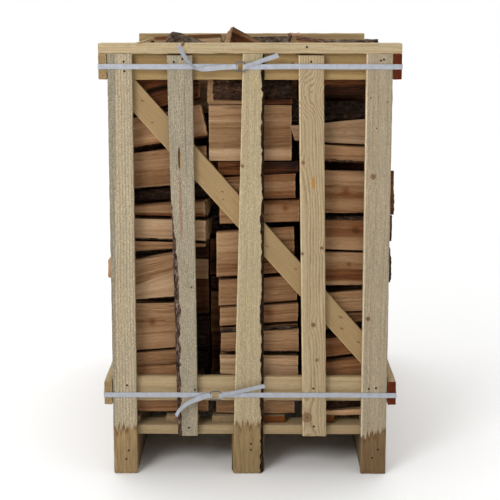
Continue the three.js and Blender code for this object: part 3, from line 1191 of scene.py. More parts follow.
CAP = SawnFinish("cap_wood", (0.475, 0.372, 0.222), (0.33, 0.222, 0.105), heart=(0.03, 0.012), slope=0.012,
                 ring=0.0065, strength=0.6, grey=0.06, fuzz=0.1, drift=0.035,
                 knots=(Knot(-0.187, 0.0115, 0.0042, 0.85, 2.6),))
BACK_CAP = SawnFinish("back_cap_wood", (0.445, 0.325, 0.168), (0.3, 0.195, 0.085), heart=(0.03, 0.012),
                      slope=0.01, strength=0.5, grey=0.04, fuzz=0.1)
BRACE = SawnFinish("brace_wood", (0.355, 0.245, 0.12), (0.265, 0.162, 0.068), heart=(0.02, 0.08),
                   slope=0.9, ring=0.008, strength=0.55, grey=0.04, fuzz=0.06, fray_and_edge_highlight=0.4,
                   knots=(Knot(1.095, 0.008, 0.0024, 0.7, 0.5), Knot(1.033, -0.012, 0.0022, 0.6, 0.5),
                          Knot(0.835, 0.004, 0.0022, 0.6, 0.5), Knot(0.812, -0.01, 0.002, 0.6, 0.5),
                          Knot(0.676, -0.006, 0.003, 0.4), Knot(0.61, 0.012, 0.0024, 0.6),
                          Knot(0.433, -0.006, 0.003), Knot(0.467, 0.014, 0.0042, 0.4),
                          Knot(0.393, 0.004, 0.0028, 0.5)))
SIDE_RAIL = SawnFinish("side_rail_wood", (0.43, 0.32, 0.18), (0.32, 0.2, 0.09), heart=(0.02, 0.04),
                       slope=0.015, strength=0.5, grey=0.2, fuzz=0.12, butt=(0.31, 0.208, 0.098))
PAINTED_RAIL = SawnFinish("painted_end_wood", (0.42, 0.30, 0.165), (0.31, 0.19, 0.085), heart=(0.02, 0.04),
                          slope=0.015, strength=0.5, grey=0.2, fuzz=0.12, butt=(0.105, 0.017, 0.003))
RED_DECK = SawnFinish("red_deck_wood", (0.38, 0.26, 0.14), (0.28, 0.16, 0.07), heart=(0.02, 0.04),
                      strength=0.5, butt=(0.15, 0.045, 0.008))
BASE = SawnFinish("base_wood", (0.375, 0.275, 0.15), (0.28, 0.185, 0.09), heart=(0.02, 0.05), slope=0.02,
                  strength=0.5, grey=0.1, fuzz=0.08, butt=(0.28, 0.19, 0.10))
SKID = SawnFinish("skid_wood", (0.27, 0.18, 0.09), (0.18, 0.11, 0.05), heart=(0.0, 0.05), slope=0.01,
                  strength=0.5, grey=0.3, fuzz=0.2, butt=(0.21, 0.135, 0.065))


LEFT_WANE = (
    (0.1, 0.013), (0.35, 0.014), (0.50, 0.0175), (0.67, 0.013), (0.73, 0.007), (0.82, 0.001), (0.86, 0.0),
)
WANES = {2: Wane(-1, LEFT_WANE), 3: Wane(1, ((0.0, 0.0098), (1.2, 0.0085)), 0.0024)}
SLATS = range(1, 6)


@dataclass
class EndFrame:
    """The front or the back of the crate: five slats, two rails, a brace and a cap."""

    prefix: str
    outward: int
    detail: float = 0.009

    def build(self) -> None:
        """Make every board of this end as its own object."""
        showing = self.prefix == "front"
        wanes = WANES if showing else {k: Wane(-w.side, w.widths) for k, w in WANES.items()}
        for k in SLATS:
            board = Board(f"{self.prefix}_slat_{k}", Axis.Z, Axis.Y, self.outward, self.detail, wanes.get(k),
                          seed=k * 7 + self.outward, heel=0.0025 if k in (1, 3, 5) else 0.0005)
            board.build(FRONT_SLATS[k] if showing else PLAIN_SLATS[k % 3], "slat_wood")
        for name, finish, seed in (("top_rail", RAIL, 31), ("low_rail", LOW_RAIL, 32)):
            Board(f"{self.prefix}_{name}", Axis.X, Axis.Y, self.outward, seed=seed).build(finish, "rail_wood")
        self.brace()
        kind, finish = (TornCap, CAP) if showing else (Board, BACK_CAP)
        kind(f"{self.prefix}_cap", Axis.X, Axis.Y, self.outward, 0.006, seed=33).build(finish, "rail_wood")

    def brace(self) -> None:
        """The diagonal brace, with its ends cut level and its corners cut at the side slats."""
        node = f"{self.prefix}_brace"
        co = np.array([v.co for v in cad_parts[node].data.vertices])
        low, high = co[:, 2].min(), co[:, 2].max()
        reach = np.abs(co[:, 0]).max()
        foot = co[co[:, 2] < low + SAME, 0]
        head = co[co[:, 2] > high - SAME, 0]
        sign = 1 if head.mean() < foot.mean() else -1
        start = foot.min() if sign > 0 else foot.max()
        top = head.max() if sign > 0 else head.min()
        corner = co[(np.abs(co[:, 0] + sign * reach) < SAME) & (co[:, 2] < high - SAME), 2].max()
        wide = abs(start + (top - start) * (corner - low) / (high - low) + sign * reach)
        rng = np.random.default_rng(5)
        t = np.linspace(0, 1, 90)[:, None]
        z = low + (high - low) * t
        near = co[:, 1].min() if self.outward < 0 else co[:, 1].max()
        thick = co[:, 1].max() - co[:, 1].min()
        flats = np.linspace(0, 1, 12)
        e = EASED / wide
        s = np.concatenate([e + flats * (1 - 2 * e), [1, 1], e + flats[::-1] * (1 - 2 * e), [0, 0]])[None]
        near_edge = [EASED, thick - EASED]
        d = np.concatenate([flats * 0, near_edge, flats * 0 + thick, near_edge[::-1]])[None]
        fuzz = 0.0005 * waves(rng, z, 0.03)
        x = start + (top - sign * wide - start) * t + sign * wide * s + fuzz * (s > 0.5)
        skin = np.abs(ripples(rng, z + 0 * s, x, 0.05, 0.05)) * 0.0004
        y = near - self.outward * (d + skin * (d < thick / 2))
        points = np.stack([np.clip(x, -reach, reach), y, z + 0 * s], 2)
        grain = np.stack([z + 0 * s, (s - 0.5) * wide * 0.75 + 0 * t, d + 0 * t], 2)
        edge = np.stack([s * wide + 0 * t, (1 - s) * wide + 0 * t, d + 0 * t], 2)
        bundle = Bundle(node + "_board")
        bundle.add(points, grain=grain, reach=edge)
        bundle.build(BRACE, "brace_wood", (node,), BOARD_SHARP)


@dataclass
class SideFrame:
    """The left or the right side: two rails outside and five slats inside them."""

    prefix: str
    outward: int

    def build(self) -> None:
        """Make the side's boards."""
        rail = PAINTED_RAIL if self.prefix == "right" else SIDE_RAIL
        for k, name in enumerate(("top_rail", "low_rail")):
            Board(f"{self.prefix}_{name}", Axis.Y, Axis.X, self.outward, seed=41 + k).build(rail, "rail_wood")
        for k in SLATS:
            wane = Wane(1 if k % 2 else -1, ((0.0, 0.010), (1.2, 0.004))) if k in (2, 5) else None
            board = Board(f"{self.prefix}_slat_{k}", Axis.Z, Axis.X, self.outward, 0.014, wane, seed=50 + k)
            board.build(PLAIN_SLATS[k % 3], "slat_wood")


@dataclass
class BaseFrame:
    """Skids, cross boards and deck boards."""

    red: tuple = (4, 5)

    def build(self) -> None:
        """Make the base's boards."""
        for k, name in enumerate(("left", "centre", "right")):
            Board(f"skid_{name}", Axis.Y, Axis.Z, 1, 0.016, seed=61 + k).build(SKID, "rail_wood")
        for k, name in enumerate(("front", "middle", "back")):
            Board(f"cross_board_{name}", Axis.X, Axis.Z, 1, 0.010, seed=71 + k).build(BASE, "rail_wood")
        for k in range(1, 7):
            board = Board(f"deck_board_{k}", Axis.Y, Axis.Z, 1, 0.02, seed=80 + k)
            board.build(RED_DECK if k in self.red else BASE, "slat_wood")


# ---------------------------------------------------------------- firewood


@dataclass
class Billet:
    """One split log along X: its ends, its heights at each end, where its bark is, and its tone."""

    left: float
    right: float
    low: tuple
    high: tuple
    near: float
    deep: float = 0.095
    level: float = 0.6
    hue: float = 0.3
    bark: Side = Side.BACK
    taper: float = 0.8
    spacing: float = 0.0034
    seed: int = 0
    yaw: float = 0.0
    slant: tuple = (0.0, 0.0)
    oblique: tuple = (0.0, 0.0)
    zones: tuple = ()
    ledges: tuple = ()
    knot: tuple = ()
    lumpy: float = 1.0
    tears: int = 2
    fade: float = 0.0
    shoulder: float = 0.0

    def outline(self, rng: Random, h: float) -> tuple:
        """The cross-section, front face at 0 and going back, from the underside up.

        Args:
            rng: the random source.
            h: the middle height of the log.

        Returns:
            Depths, heights, bark shares, and the heart's place.
        """
        w = self.deep
        if self.bark is Side.ALL:
            return self.round_outline(rng, h)
        low_back, high_back = h * (0.5 - self.taper / 2), h * (0.5 + self.taper / 2)
        lean = rng.uniform(-0.12, 0.12) * h
        corners = [(rng.uniform(0, 0.003), 0.0), (rng.uniform(0, 0.004), h), (w, high_back + min(lean, 0)),
                   (w * rng.uniform(0.88, 1.0), max(low_back + max(lean, 0), 0.0))]
        shares = {Side.FRONT: 1.0, Side.TOP: 1.7, Side.BACK: 3.0, Side.UNDER: 1.7}
        ys, zs, barks = [], [], []
        for k, side in enumerate((Side.FRONT, Side.TOP, Side.BACK, Side.UNDER)):
            (y0, z0), (y1, z1) = corners[k], corners[(k + 1) % 4]
            long = math.hypot(y1 - y0, z1 - z0)
            n = max(2, int(long / (self.spacing * (1.0 if side is self.bark else shares[side]))))
            s = np.arange(n) / n
            curve = np.sin(math.pi * s) * (0.16 * long if side is self.bark else 0.0)
            ys.append(y0 + (y1 - y0) * s - (z1 - z0) / max(long, 1e-6) * curve)
            zs.append(z0 + (z1 - z0) * s + (y1 - y0) / max(long, 1e-6) * curve)
            barks.append(np.full(n, 1.0 if side is self.bark else 0.0))
        y, z, b = np.concatenate(ys), np.concatenate(zs), np.concatenate(barks)
        y = y - min(0.0, y.min())
        z = (z - z.min()) * (h / (z.max() - z.min()))
        hearts = {Side.FRONT: (w * 1.1, h * 0.5), Side.BACK: (-0.03, h * rng.uniform(0.3, 0.7)),
                  Side.TOP: (w * 0.4, -0.03), Side.UNDER: (w * 0.4, h + 0.03)}
        return y, z, b, hearts.get(self.bark, (-0.05, h * rng.uniform(-0.2, 1.2)))

    def round_outline(self, rng: Random, h: float) -> tuple:
        """The cross-section of a log that keeps all its bark.

        Args:
            rng: the random source.
            h: the middle height of the log.

        Returns:
            Depths, heights, bark shares, and the heart's place.
        """
        w = self.deep
        n = max(14, int(math.pi * (h + w) / 2 / self.spacing))
        a = np.linspace(0, 2 * math.pi, n, endpoint=False)
        squash = 1 + 0.06 * np.sin(2 * a + rng.uniform(0, 6)) + 0.03 * np.sin(3 * a + rng.uniform(0, 6))
        y, z = w / 2 - w / 2 * np.cos(a) * squash, h / 2 + h / 2 * np.sin(a) * squash
        return y, z, np.ones(n), (w / 2, h / 2)

    def steps(self, rng: Random) -> list:
        """The ledges on the front face: those given, or torn ones at random places.

        Args:
            rng: the random source.

        Returns:
            (height share at the left end, at the right end, step in metres) for each.
        """
        steps = list(self.ledges)
        for _ in range(self.tears if not self.ledges else 0):
            place = rng.uniform(0.08, 0.92)
            other = place + rng.uniform(-0.12, 0.12)
            steps.append((place, other, rng.choice((-1, 1)) * rng.uniform(0.001, 0.0028)))
        return steps

    def banded(self, rng: Random, x: np.ndarray, height: np.ndarray, tone: np.ndarray) -> np.ndarray:
        """Darken or lighten the log between the heights its zones give.

        Args:
            rng: the random source.
            x: the stations' places along the log.
            height: the points' heights, 0 at the underside and 1 at the top.
            tone: brightness so far.

        Returns:
            The changed brightness.
        """
        for a, b, change in self.zones:
            v = height + 0.012 * waves(rng, x, 0.12)
            over_low, over_high = 1 / (1 + np.exp(-(v - a) / 0.012)), 1 / (1 + np.exp(-(v - b) / 0.012))
            tone = tone + change * (over_low - over_high)
        return tone

    @staticmethod
    def outward(y: np.ndarray, z: np.ndarray) -> tuple:
        """The outward directions of a cross-section.

        Args:
            y: its depths.
            z: its heights.

        Returns:
            The two parts of the unit vectors.
        """
        ny, nz = np.roll(z, -1) - np.roll(z, 1), np.roll(y, 1) - np.roll(y, -1)
        size = np.hypot(ny, nz) + 1e-9
        if ((y - y.mean()) * ny + (z - z.mean()) * nz).sum() < 0:
            size = -size
        return ny / size, nz / size

    def add_to(self, bundle: Bundle) -> None:
        """Loft the log into a bundle.

        Args:
            bundle: the mesh that it becomes part of.
        """
        rng = np.random.default_rng(self.seed)
        h = (self.high[0] + self.high[1] - self.low[0] - self.low[1]) / 2
        y, z, bark, heart = self.outline(rng, h)
        long = self.right - self.left
        t = np.linspace(0, 1, max(5, int(long / (self.spacing * 1.7)) + 1))[:, None]
        x = long * t
        around = np.hypot(np.diff(y, append=y[0]), np.diff(z, append=z[0]))
        s = (np.cumsum(around) - around)[None]
        mid_y, mid_z = y.mean(), z.mean()
        ny, nz = self.outward(y, z)
        facing = np.clip(1 - y / 0.012, 0, 1)[None] * (1 - bark[None])
        height = z[None] / h + 0 * t
        # painted shade: brightness ramps from one end of the log to the other where a rail or the brace shades
        # one end
        tone = self.level + self.fade * (t - 0.5) + 0 * height
        fibre = ripples(rng, x, s, 0.28, 0.013) * 0.0006 + ripples(rng, x, s, 0.4, 0.05) * 0.0020
        torn = np.zeros_like(fibre)
        for a, b, step in self.steps(rng):
            off = (height - a - (b - a) * t) * h + 0.0012 * waves(rng, x, 0.06)
            torn += facing * step * np.tanh(off / 0.0016)
            lit = off * np.sign(step)        # dark along the proud edge, pale on the wood set back beside it
            # painted shade along the proud edge of each ledge, and a painted highlight on the wood set back
            # beside it
            tone = tone - facing * 0.11 * np.exp(-((lit - 0.0012) / 0.0022) ** 2)
            tone = tone + facing * 0.05 * np.exp(-((lit + 0.0028) / 0.002) ** 2)
        rough = ripples(rng, x, s, 0.045, 0.022) * 0.0017 + ripples(rng, x, s, 0.015, 0.01) * 0.0008
        push = ((1 - bark[None]) * (fibre - 0.0012) + torn + bark[None] * (rough - 0.001)) * self.lumpy
        grow = 1 + 0.02 * waves(rng, x, 0.5)
        dy = (y[None] - mid_y) * grow + ny[None] * push
        dz = (z[None] - mid_z) * grow + nz[None] * push
        low = self.low[0] + (self.low[1] - self.low[0]) * t
        tall = (self.high[0] - self.low[0]) * (1 - t) + (self.high[1] - self.low[1]) * t
        if self.shoulder:
            tall = tall * (1 - 0.6 * np.clip(1 - x / self.shoulder, 0, 1) ** 2.2)
        pz = low + tall * (dz + mid_z) / h
        cut = rng.uniform(-0.02, 0.02, 2)
        shear = ((self.slant[0] + cut[0]) * (1 - t) + (self.slant[1] + cut[1]) * t) * dz
        shear = shear + (self.oblique[0] * (1 - t) + self.oblique[1] * t) * (dy + mid_y)
        px = x + shear
        ends = np.clip(np.concatenate([1 - x / 0.01, 1 - (long - x) / 0.01], 1), 0, 1).max(1)[:, None]
        px = px + 0.0007 * rng.normal(0, 1, dy.shape) * ends
        tone = self.banded(rng, x, height, tone)
        tone = tone + facing * 0.13 * np.clip(1 - (np.minimum(x, long - x) - 0.001) / 0.004, 0, 1)
        grain = np.stack([px + rng.uniform(0, 9), dz + mid_z - heart[1], dy + mid_y - heart[0]], 2)
        tint = np.stack([self.hue + 0 * px, np.clip(tone, 0.02, 1), rng.uniform(0.003, 0.006) + 0 * px], 2)
        knot = np.tile((1.0, 1.0, 0.005), (*px.shape, 1))
        if self.knot:
            knot = np.stack([px + self.left - self.knot[0], pz - self.knot[1], self.knot[2] + 0 * px], 2)
        turn = math.radians(self.yaw)
        ax, ay = px - long / 2, dy
        qx, qy = ax * math.cos(turn) - ay * math.sin(turn), ax * math.sin(turn) + ay * math.cos(turn)
        points = np.stack([self.left + long / 2 + qx, self.near + mid_y + qy, pz], 2)
        bundle.add(points, bark[None], rough=rng, grain=grain, tint=tint, knot=knot)


LOG_FRONT = FRONT + 0.050           # the front logs stand a little behind the rails
STACK_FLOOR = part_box("firewood_left")[0].z
STACK_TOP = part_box("firewood_left")[1].z
STACK_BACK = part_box("firewood_left")[1].y
COLUMN_ENDS = {name: tuple(corner.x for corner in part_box(f"firewood_{name}"))
               for name in ("left", "centre", "right")}


def face(left: float, right: float, low: tuple, high: tuple, level: float, hue: float, bark: Side = Side.BACK,
         back: float = 0.0, **more: Union[float, tuple]) -> Billet:
    """A log of the front row.

    Args:
        left: its left end.
        right: its right end.
        low: heights of its underside at the left and the right end.
        high: heights of its top at the left and the right end.
        level: brightness, 0 to 1.
        hue: 0 yellowish to 1 red.
        bark: which side has bark.
        back: how far it stands behind the row's front.
        more: any other sizes of a Billet.

    Returns:
        The log.
    """
    return Billet(left, right, low, high, LOG_FRONT + back, level=level, hue=hue, bark=bark,
                  seed=int(low[0] * 1e4) + int(abs(left) * 1e3), **more)


L, C, R = -0.376, 0.142, 0.376
# each face's level, zones and ramp set its brightness: partly the wood's own tone, partly painted shade where
# rails, the brace or downturned facets shade it
FRONT_LOGS = (
    # left column, from the deck up
    face(L, -0.124, (0.163, 0.163), (0.211, 0.211), 0.58, 0.75, Side.UNDER, ledges=((0.35, 0.4, 0.001),)),
    face(L, -0.140, (0.214, 0.214), (0.276, 0.282), 0.4, 0.5, Side.TOP, 0.006),
    face(L, -0.167, (0.279, 0.285), (0.304, 0.318), 0.62, 0.8, Side.BACK, 0.002),
    face(L, -0.168, (0.306, 0.320), (0.347, 0.363), 0.6, 0.25, Side.BACK, 0.001),
    face(L, -0.167, (0.350, 0.368), (0.498, 0.501), 0.60, 0.3, Side.UNDER, taper=0.7, deep=0.11,
         knot=(-0.286, 0.444, 0.006),
         ledges=((0.64, 0.6, -0.0022), (0.33, 0.42, 0.0012), (0.85, 0.8, 0.0012)),
         zones=((0.7, 1.05, 0.04), (-0.1, 0.1, -0.1))),
    face(L, -0.168, (0.503, 0.513), (0.541, 0.616), 0.72, 0.1, Side.UNDER, ledges=((0.8, 0.86, 0.0012),)),
    face(L, -0.167, (0.543, 0.612), (0.624, 0.655), 0.68, 0.25, Side.BACK, 0.002, zones=((-0.1, 0.3, -0.07),),
         ledges=((0.28, 0.3, -0.0018), (0.12, 0.2, 0.0012))),
    face(L, -0.135, (0.632, 0.660), (0.646, 0.669), 0.12, 0.3, Side.FRONT, 0.03, taper=0.6),
    face(L, -0.130, (0.648, 0.667), (0.684, 0.676), 0.62, 0.4, Side.BACK, 0.001),
    face(L, -0.130, (0.686, 0.677), (0.753, 0.745), 0.7, 0.1, Side.UNDER, oblique=(0.0, 0.18),
         ledges=((0.3, 0.24, 0.0022), (0.72, 0.7, -0.0014))),
    face(L, -0.132, (0.756, 0.748), (0.787, 0.806), 0.47, 0.4, Side.UNDER, 0.002, oblique=(0.0, 0.18),
         zones=((-0.1, 0.32, -0.22),), ledges=((0.33, 0.3, -0.003),)),
    face(L, -0.130, (0.792, 0.811), (0.826, 0.848), 0.14, 0.5, Side.FRONT, 0.028, taper=0.6),
    face(L, -0.126, (0.831, 0.852), (0.940, 0.965), 0.6, 0.2, Side.UNDER,
         zones=((-0.1, 0.1, 0.12), (0.5, 0.7, 0.05)),
         ledges=((0.13, 0.1, -0.0028), (0.42, 0.5, 0.001), (0.8, 0.76, -0.001))),
    face(L, -0.130, (0.944, 0.984), (1.034, 1.082), 0.7, 0.75, Side.UNDER, 0.002, slant=(0.0, -0.25),
         ledges=((0.24, 0.2, -0.0016), (0.6, 0.66, 0.0012)), zones=((-0.1, 0.16, -0.18),)),
    face(L, -0.146, (1.037, 1.094), (1.099, 1.158), 0.21, 0.9, Side.UNDER, 0.006, zones=((0.8, 1.1, -0.1),),
         fade=-0.12),
    face(L, -0.150, (1.101, 1.161), (1.165, 1.200), 0.3, 1.0, Side.BACK, 0.004, lumpy=0.5, tears=1,
         fade=-0.12),
    # centre column
    face(-0.100, 0.131, (0.163, 0.163), (0.205, 0.202), 0.6, 0.6, Side.BACK),
    face(-0.110, 0.126, (0.207, 0.206), (0.272, 0.268), 0.4, 0.4, Side.TOP, 0.012),
    face(-0.088, 0.141, (0.275, 0.270), (0.343, 0.341), 0.68, 0.15, Side.UNDER, -0.002, fade=-0.06),
    face(-0.085, C, (0.346, 0.344), (0.411, 0.424), 0.56, 0.25, Side.UNDER,
         ledges=((0.55, 0.6, -0.0016), (0.2, 0.25, 0.0012))),
    face(-0.086, 0.138, (0.412, 0.425), (0.422, 0.436), 0.42, 0.1, Side.FRONT, 0.004, taper=0.5),
    face(-0.088, 0.140, (0.423, 0.437), (0.487, 0.503), 0.58, 0.5, Side.UNDER, 0.002,
         knot=(0.054, 0.472, 0.009), ledges=((0.5, 0.55, 0.0012), (0.75, 0.7, -0.002))),
    face(-0.091, 0.137, (0.490, 0.505), (0.569, 0.581), 0.58, 0.35, Side.BACK, 0.002, fade=-0.1),
    face(-0.097, 0.128, (0.573, 0.588), (0.714, 0.729), 0.53, 0.45, Side.UNDER, 0.002, deep=0.11, taper=0.7,
         fade=-0.16,
         ledges=((0.83, 0.86, -0.0018), (0.69, 0.7, 0.0014), (0.56, 0.52, -0.0022), (0.42, 0.44, 0.0016),
                 (0.31, 0.28, -0.0016), (0.18, 0.22, 0.0014))),
    face(-0.088, C, (0.728, 0.735), (0.803, 0.807), 0.5, 0.6, Side.UNDER, 0.002, knot=(0.1015, 0.782, 0.006)),
    face(-0.086, 0.130, (0.806, 0.811), (0.870, 0.881), 0.47, 0.55, Side.BACK),
    face(-0.092, 0.138, (0.874, 0.884), (0.913, 0.918), 0.21, 1.0, Side.BACK, 0.004, fade=-0.2,
         zones=((0.7, 1.1, -0.12),)),
    face(-0.117, 0.118, (0.921, 0.921), (1.082, 1.082), 0.64, 0.1, Side.BACK, taper=0.7, deep=0.11,
         fade=-0.17,
         zones=((0.56, 0.68, -0.06), (0.24, 0.56, -0.19), (-0.1, 0.23, 0.03)),
         ledges=((0.235, 0.225, -0.0026), (0.56, 0.57, 0.0012), (0.8, 0.84, -0.001))),
    face(-0.106, 0.118, (1.088, 1.087), (1.163, 1.163), 0.24, 0.5, Side.FRONT, 0.0, fade=-0.35),
    face(-0.121, -0.105, (1.088, 1.088), (1.163, 1.163), 0.62, 0.1, Side.BACK, 0.0, tears=0),
    face(-0.119, 0.030, (1.082, 1.080), (1.096, 1.092), 0.56, 0.0, Side.BACK, -0.001, tears=0, fade=-0.1),
    face(0.030, 0.120, (1.080, 1.080), (1.096, 1.098), 0.22, 1.0, Side.BACK, -0.001, tears=0),
    face(-0.110, 0.112, (1.166, 1.166), (1.196, 1.194), 0.4, 0.5, Side.TOP, 0.01),
    # right column
    face(0.154, R, (0.161, 0.161), (0.172, 0.180), 0.95, 0.7, Side.BACK, -0.006, taper=0.6),
    face(0.154, R, (0.174, 0.182), (0.211, 0.211), 0.26, 0.6, Side.FRONT, 0.012),
    face(0.150, R, (0.213, 0.213), (0.277, 0.277), 0.4, 0.5, Side.TOP, 0.012),
    face(0.154, R, (0.279, 0.280), (0.315, 0.343), 0.52, 0.7, Side.BACK),
    face(0.154, R, (0.319, 0.347), (0.383, 0.413), 0.46, 0.75, Side.UNDER, 0.002),
    face(0.153, R, (0.389, 0.452), (0.466, 0.470), 0.42, 0.6, Side.UNDER, 0.01),
    face(0.152, R, (0.469, 0.473), (0.522, 0.539), 0.64, 0.4, Side.BACK, 0.001),
    face(0.152, R, (0.547, 0.546), (0.658, 0.653), 0.59, 0.3, Side.UNDER, taper=0.7, deep=0.11,
         knot=(0.287, 0.616, 0.004), zones=((0.2, 0.5, -0.2), (-0.1, 0.13, -0.02)),
         ledges=((0.5, 0.52, -0.0018),)),
    face(0.152, R, (0.663, 0.658), (0.754, 0.755), 0.58, 0.4, Side.TOP,
         zones=((0.7, 1.1, -0.1), (0.42, 0.62, -0.16)),
         knot=(0.306, 0.719, 0.006), ledges=((0.66, 0.64, -0.0018), (0.4, 0.42, 0.0014))),
    face(0.151, R, (0.760, 0.763), (0.898, 0.888), 0.58, 0.35, Side.UNDER, taper=0.75, deep=0.115,
         knot=(0.274, 0.832, 0.007), zones=((0.4, 0.64, -0.15),),
         ledges=((0.64, 0.66, -0.0022), (0.38, 0.36, 0.0018), (0.14, 0.05, -0.002))),
    face(0.150, R, (0.916, 0.906), (0.969, 0.960), 0.6, 0.5, Side.UNDER, 0.002),
    face(0.122, R, (0.976, 0.964), (1.022, 1.043), 1.0, 0.55, Side.BACK, -0.002, slant=(-0.22, 0.0),
         ledges=((0.3, 0.42, -0.0014), (0.72, 0.7, 0.001))),
    face(0.122, R, (1.025, 1.046), (1.091, 1.091), 0.2, 0.3, Side.FRONT, 0.013, slant=(0.2, 0.0),
         zones=((-0.1, 0.2, 0.2),)),
    face(0.150, R, (1.108, 1.108), (1.163, 1.163), 0.12, 1.0, Side.BACK, 0.016, zones=((0.55, 0.95, 0.1),)),
    face(0.150, R, (1.166, 1.166), (1.196, 1.196), 0.4, 0.5, Side.BACK, 0.02),
)
# second-row logs that stand out past the side slats, by column: underside, top and how far out
STANDING_OUT = {"left": ((0.541, 0.607, 0.0585),), "centre": (),
                "right": ((0.520, 0.632, 0.047), (0.655, 0.740, 0.047), (0.748, 0.882, 0.053))}


@dataclass(frozen=True)
class LooseLog:
    """A log lying on the stack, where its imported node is: middle of the underside, turn, pitch and size."""

    at: tuple
    lift: float
    turn: float
    pitch: float
    size: tuple
    level: float
    hue: float
    bark: Side
    taper: float = 0.8
    drop: float = 0.0
    zones: tuple = ()
    slant: tuple = (0.0, 0.0)
    shoulder: float = 0.0
    fade: float = 0.0
    spacing: float = 0.004

    def billet(self, shift: float, seed: int) -> Billet:
        """The log as a billet.

        Args:
            shift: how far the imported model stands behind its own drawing's middle.
            seed: seed of its shape.

        Returns:
            The billet.
        """
        long, deep, tall = self.size
        rise = math.sin(math.radians(self.pitch)) * long / 2
        base = STACK_TOP + self.lift
        up = tall * math.cos(math.radians(self.pitch))
        return Billet(self.at[0] - long / 2, self.at[0] + long / 2, (base + rise, base - rise),
                      (base + rise + up, base - rise + up * (1 - self.drop)),
                      self.at[1] + shift - deep / 2, deep, self.level, self.hue, self.bark, self.taper,
                      self.spacing, seed, self.turn, self.slant, zones=self.zones, shoulder=self.shoulder,
                      fade=self.fade)


LOOSE_LOGS = (
    LooseLog((-0.145, -0.250), -0.020, 2, 14, (0.242, 0.092, 0.088), 0.8, 0.1, Side.ALL, 0.75, 0.3,
             shoulder=0.035),
    LooseLog((-0.206, -0.005), 0.004, -2, -3, (0.216, 0.090, 0.066), 0.85, 0.1, Side.BACK, 0.8,
             zones=((0.8, 1.1, -0.5),)),
    LooseLog((0.030, -0.345), -0.010, 14, 15, (0.200, 0.086, 0.097), 0.56, 0.0, Side.BACK, 0.5, 0.59,
             ((0.78, 1.1, 0.3),), (0.30, 0.0), fade=0.75),
    LooseLog((0.030, 0.105), 0.001, 3, 0, (0.190, 0.082, 0.062), 1.0, 0.0, Side.FRONT, 0.8),
    LooseLog((0.150, 0.175), 0.001, 91, 0, (0.188, 0.038, 0.067), 0.72, 0.7, Side.BACK, 0.95),
    LooseLog((0.253, -0.232), -0.008, -3, 6, (0.224, 0.086, 0.067), 0.62, 0.6, Side.TOP, 0.7),
    LooseLog((0.299, -0.342), 0.0315, 2, -1, (0.165, 0.058, 0.0325), 0.85, 0.12, Side.ALL, 0.8),
    LooseLog((-0.180, 0.330), 0.0005, 5, 0, (0.223, 0.086, 0.0375), 0.6, 0.3, Side.TOP, 0.8),
)


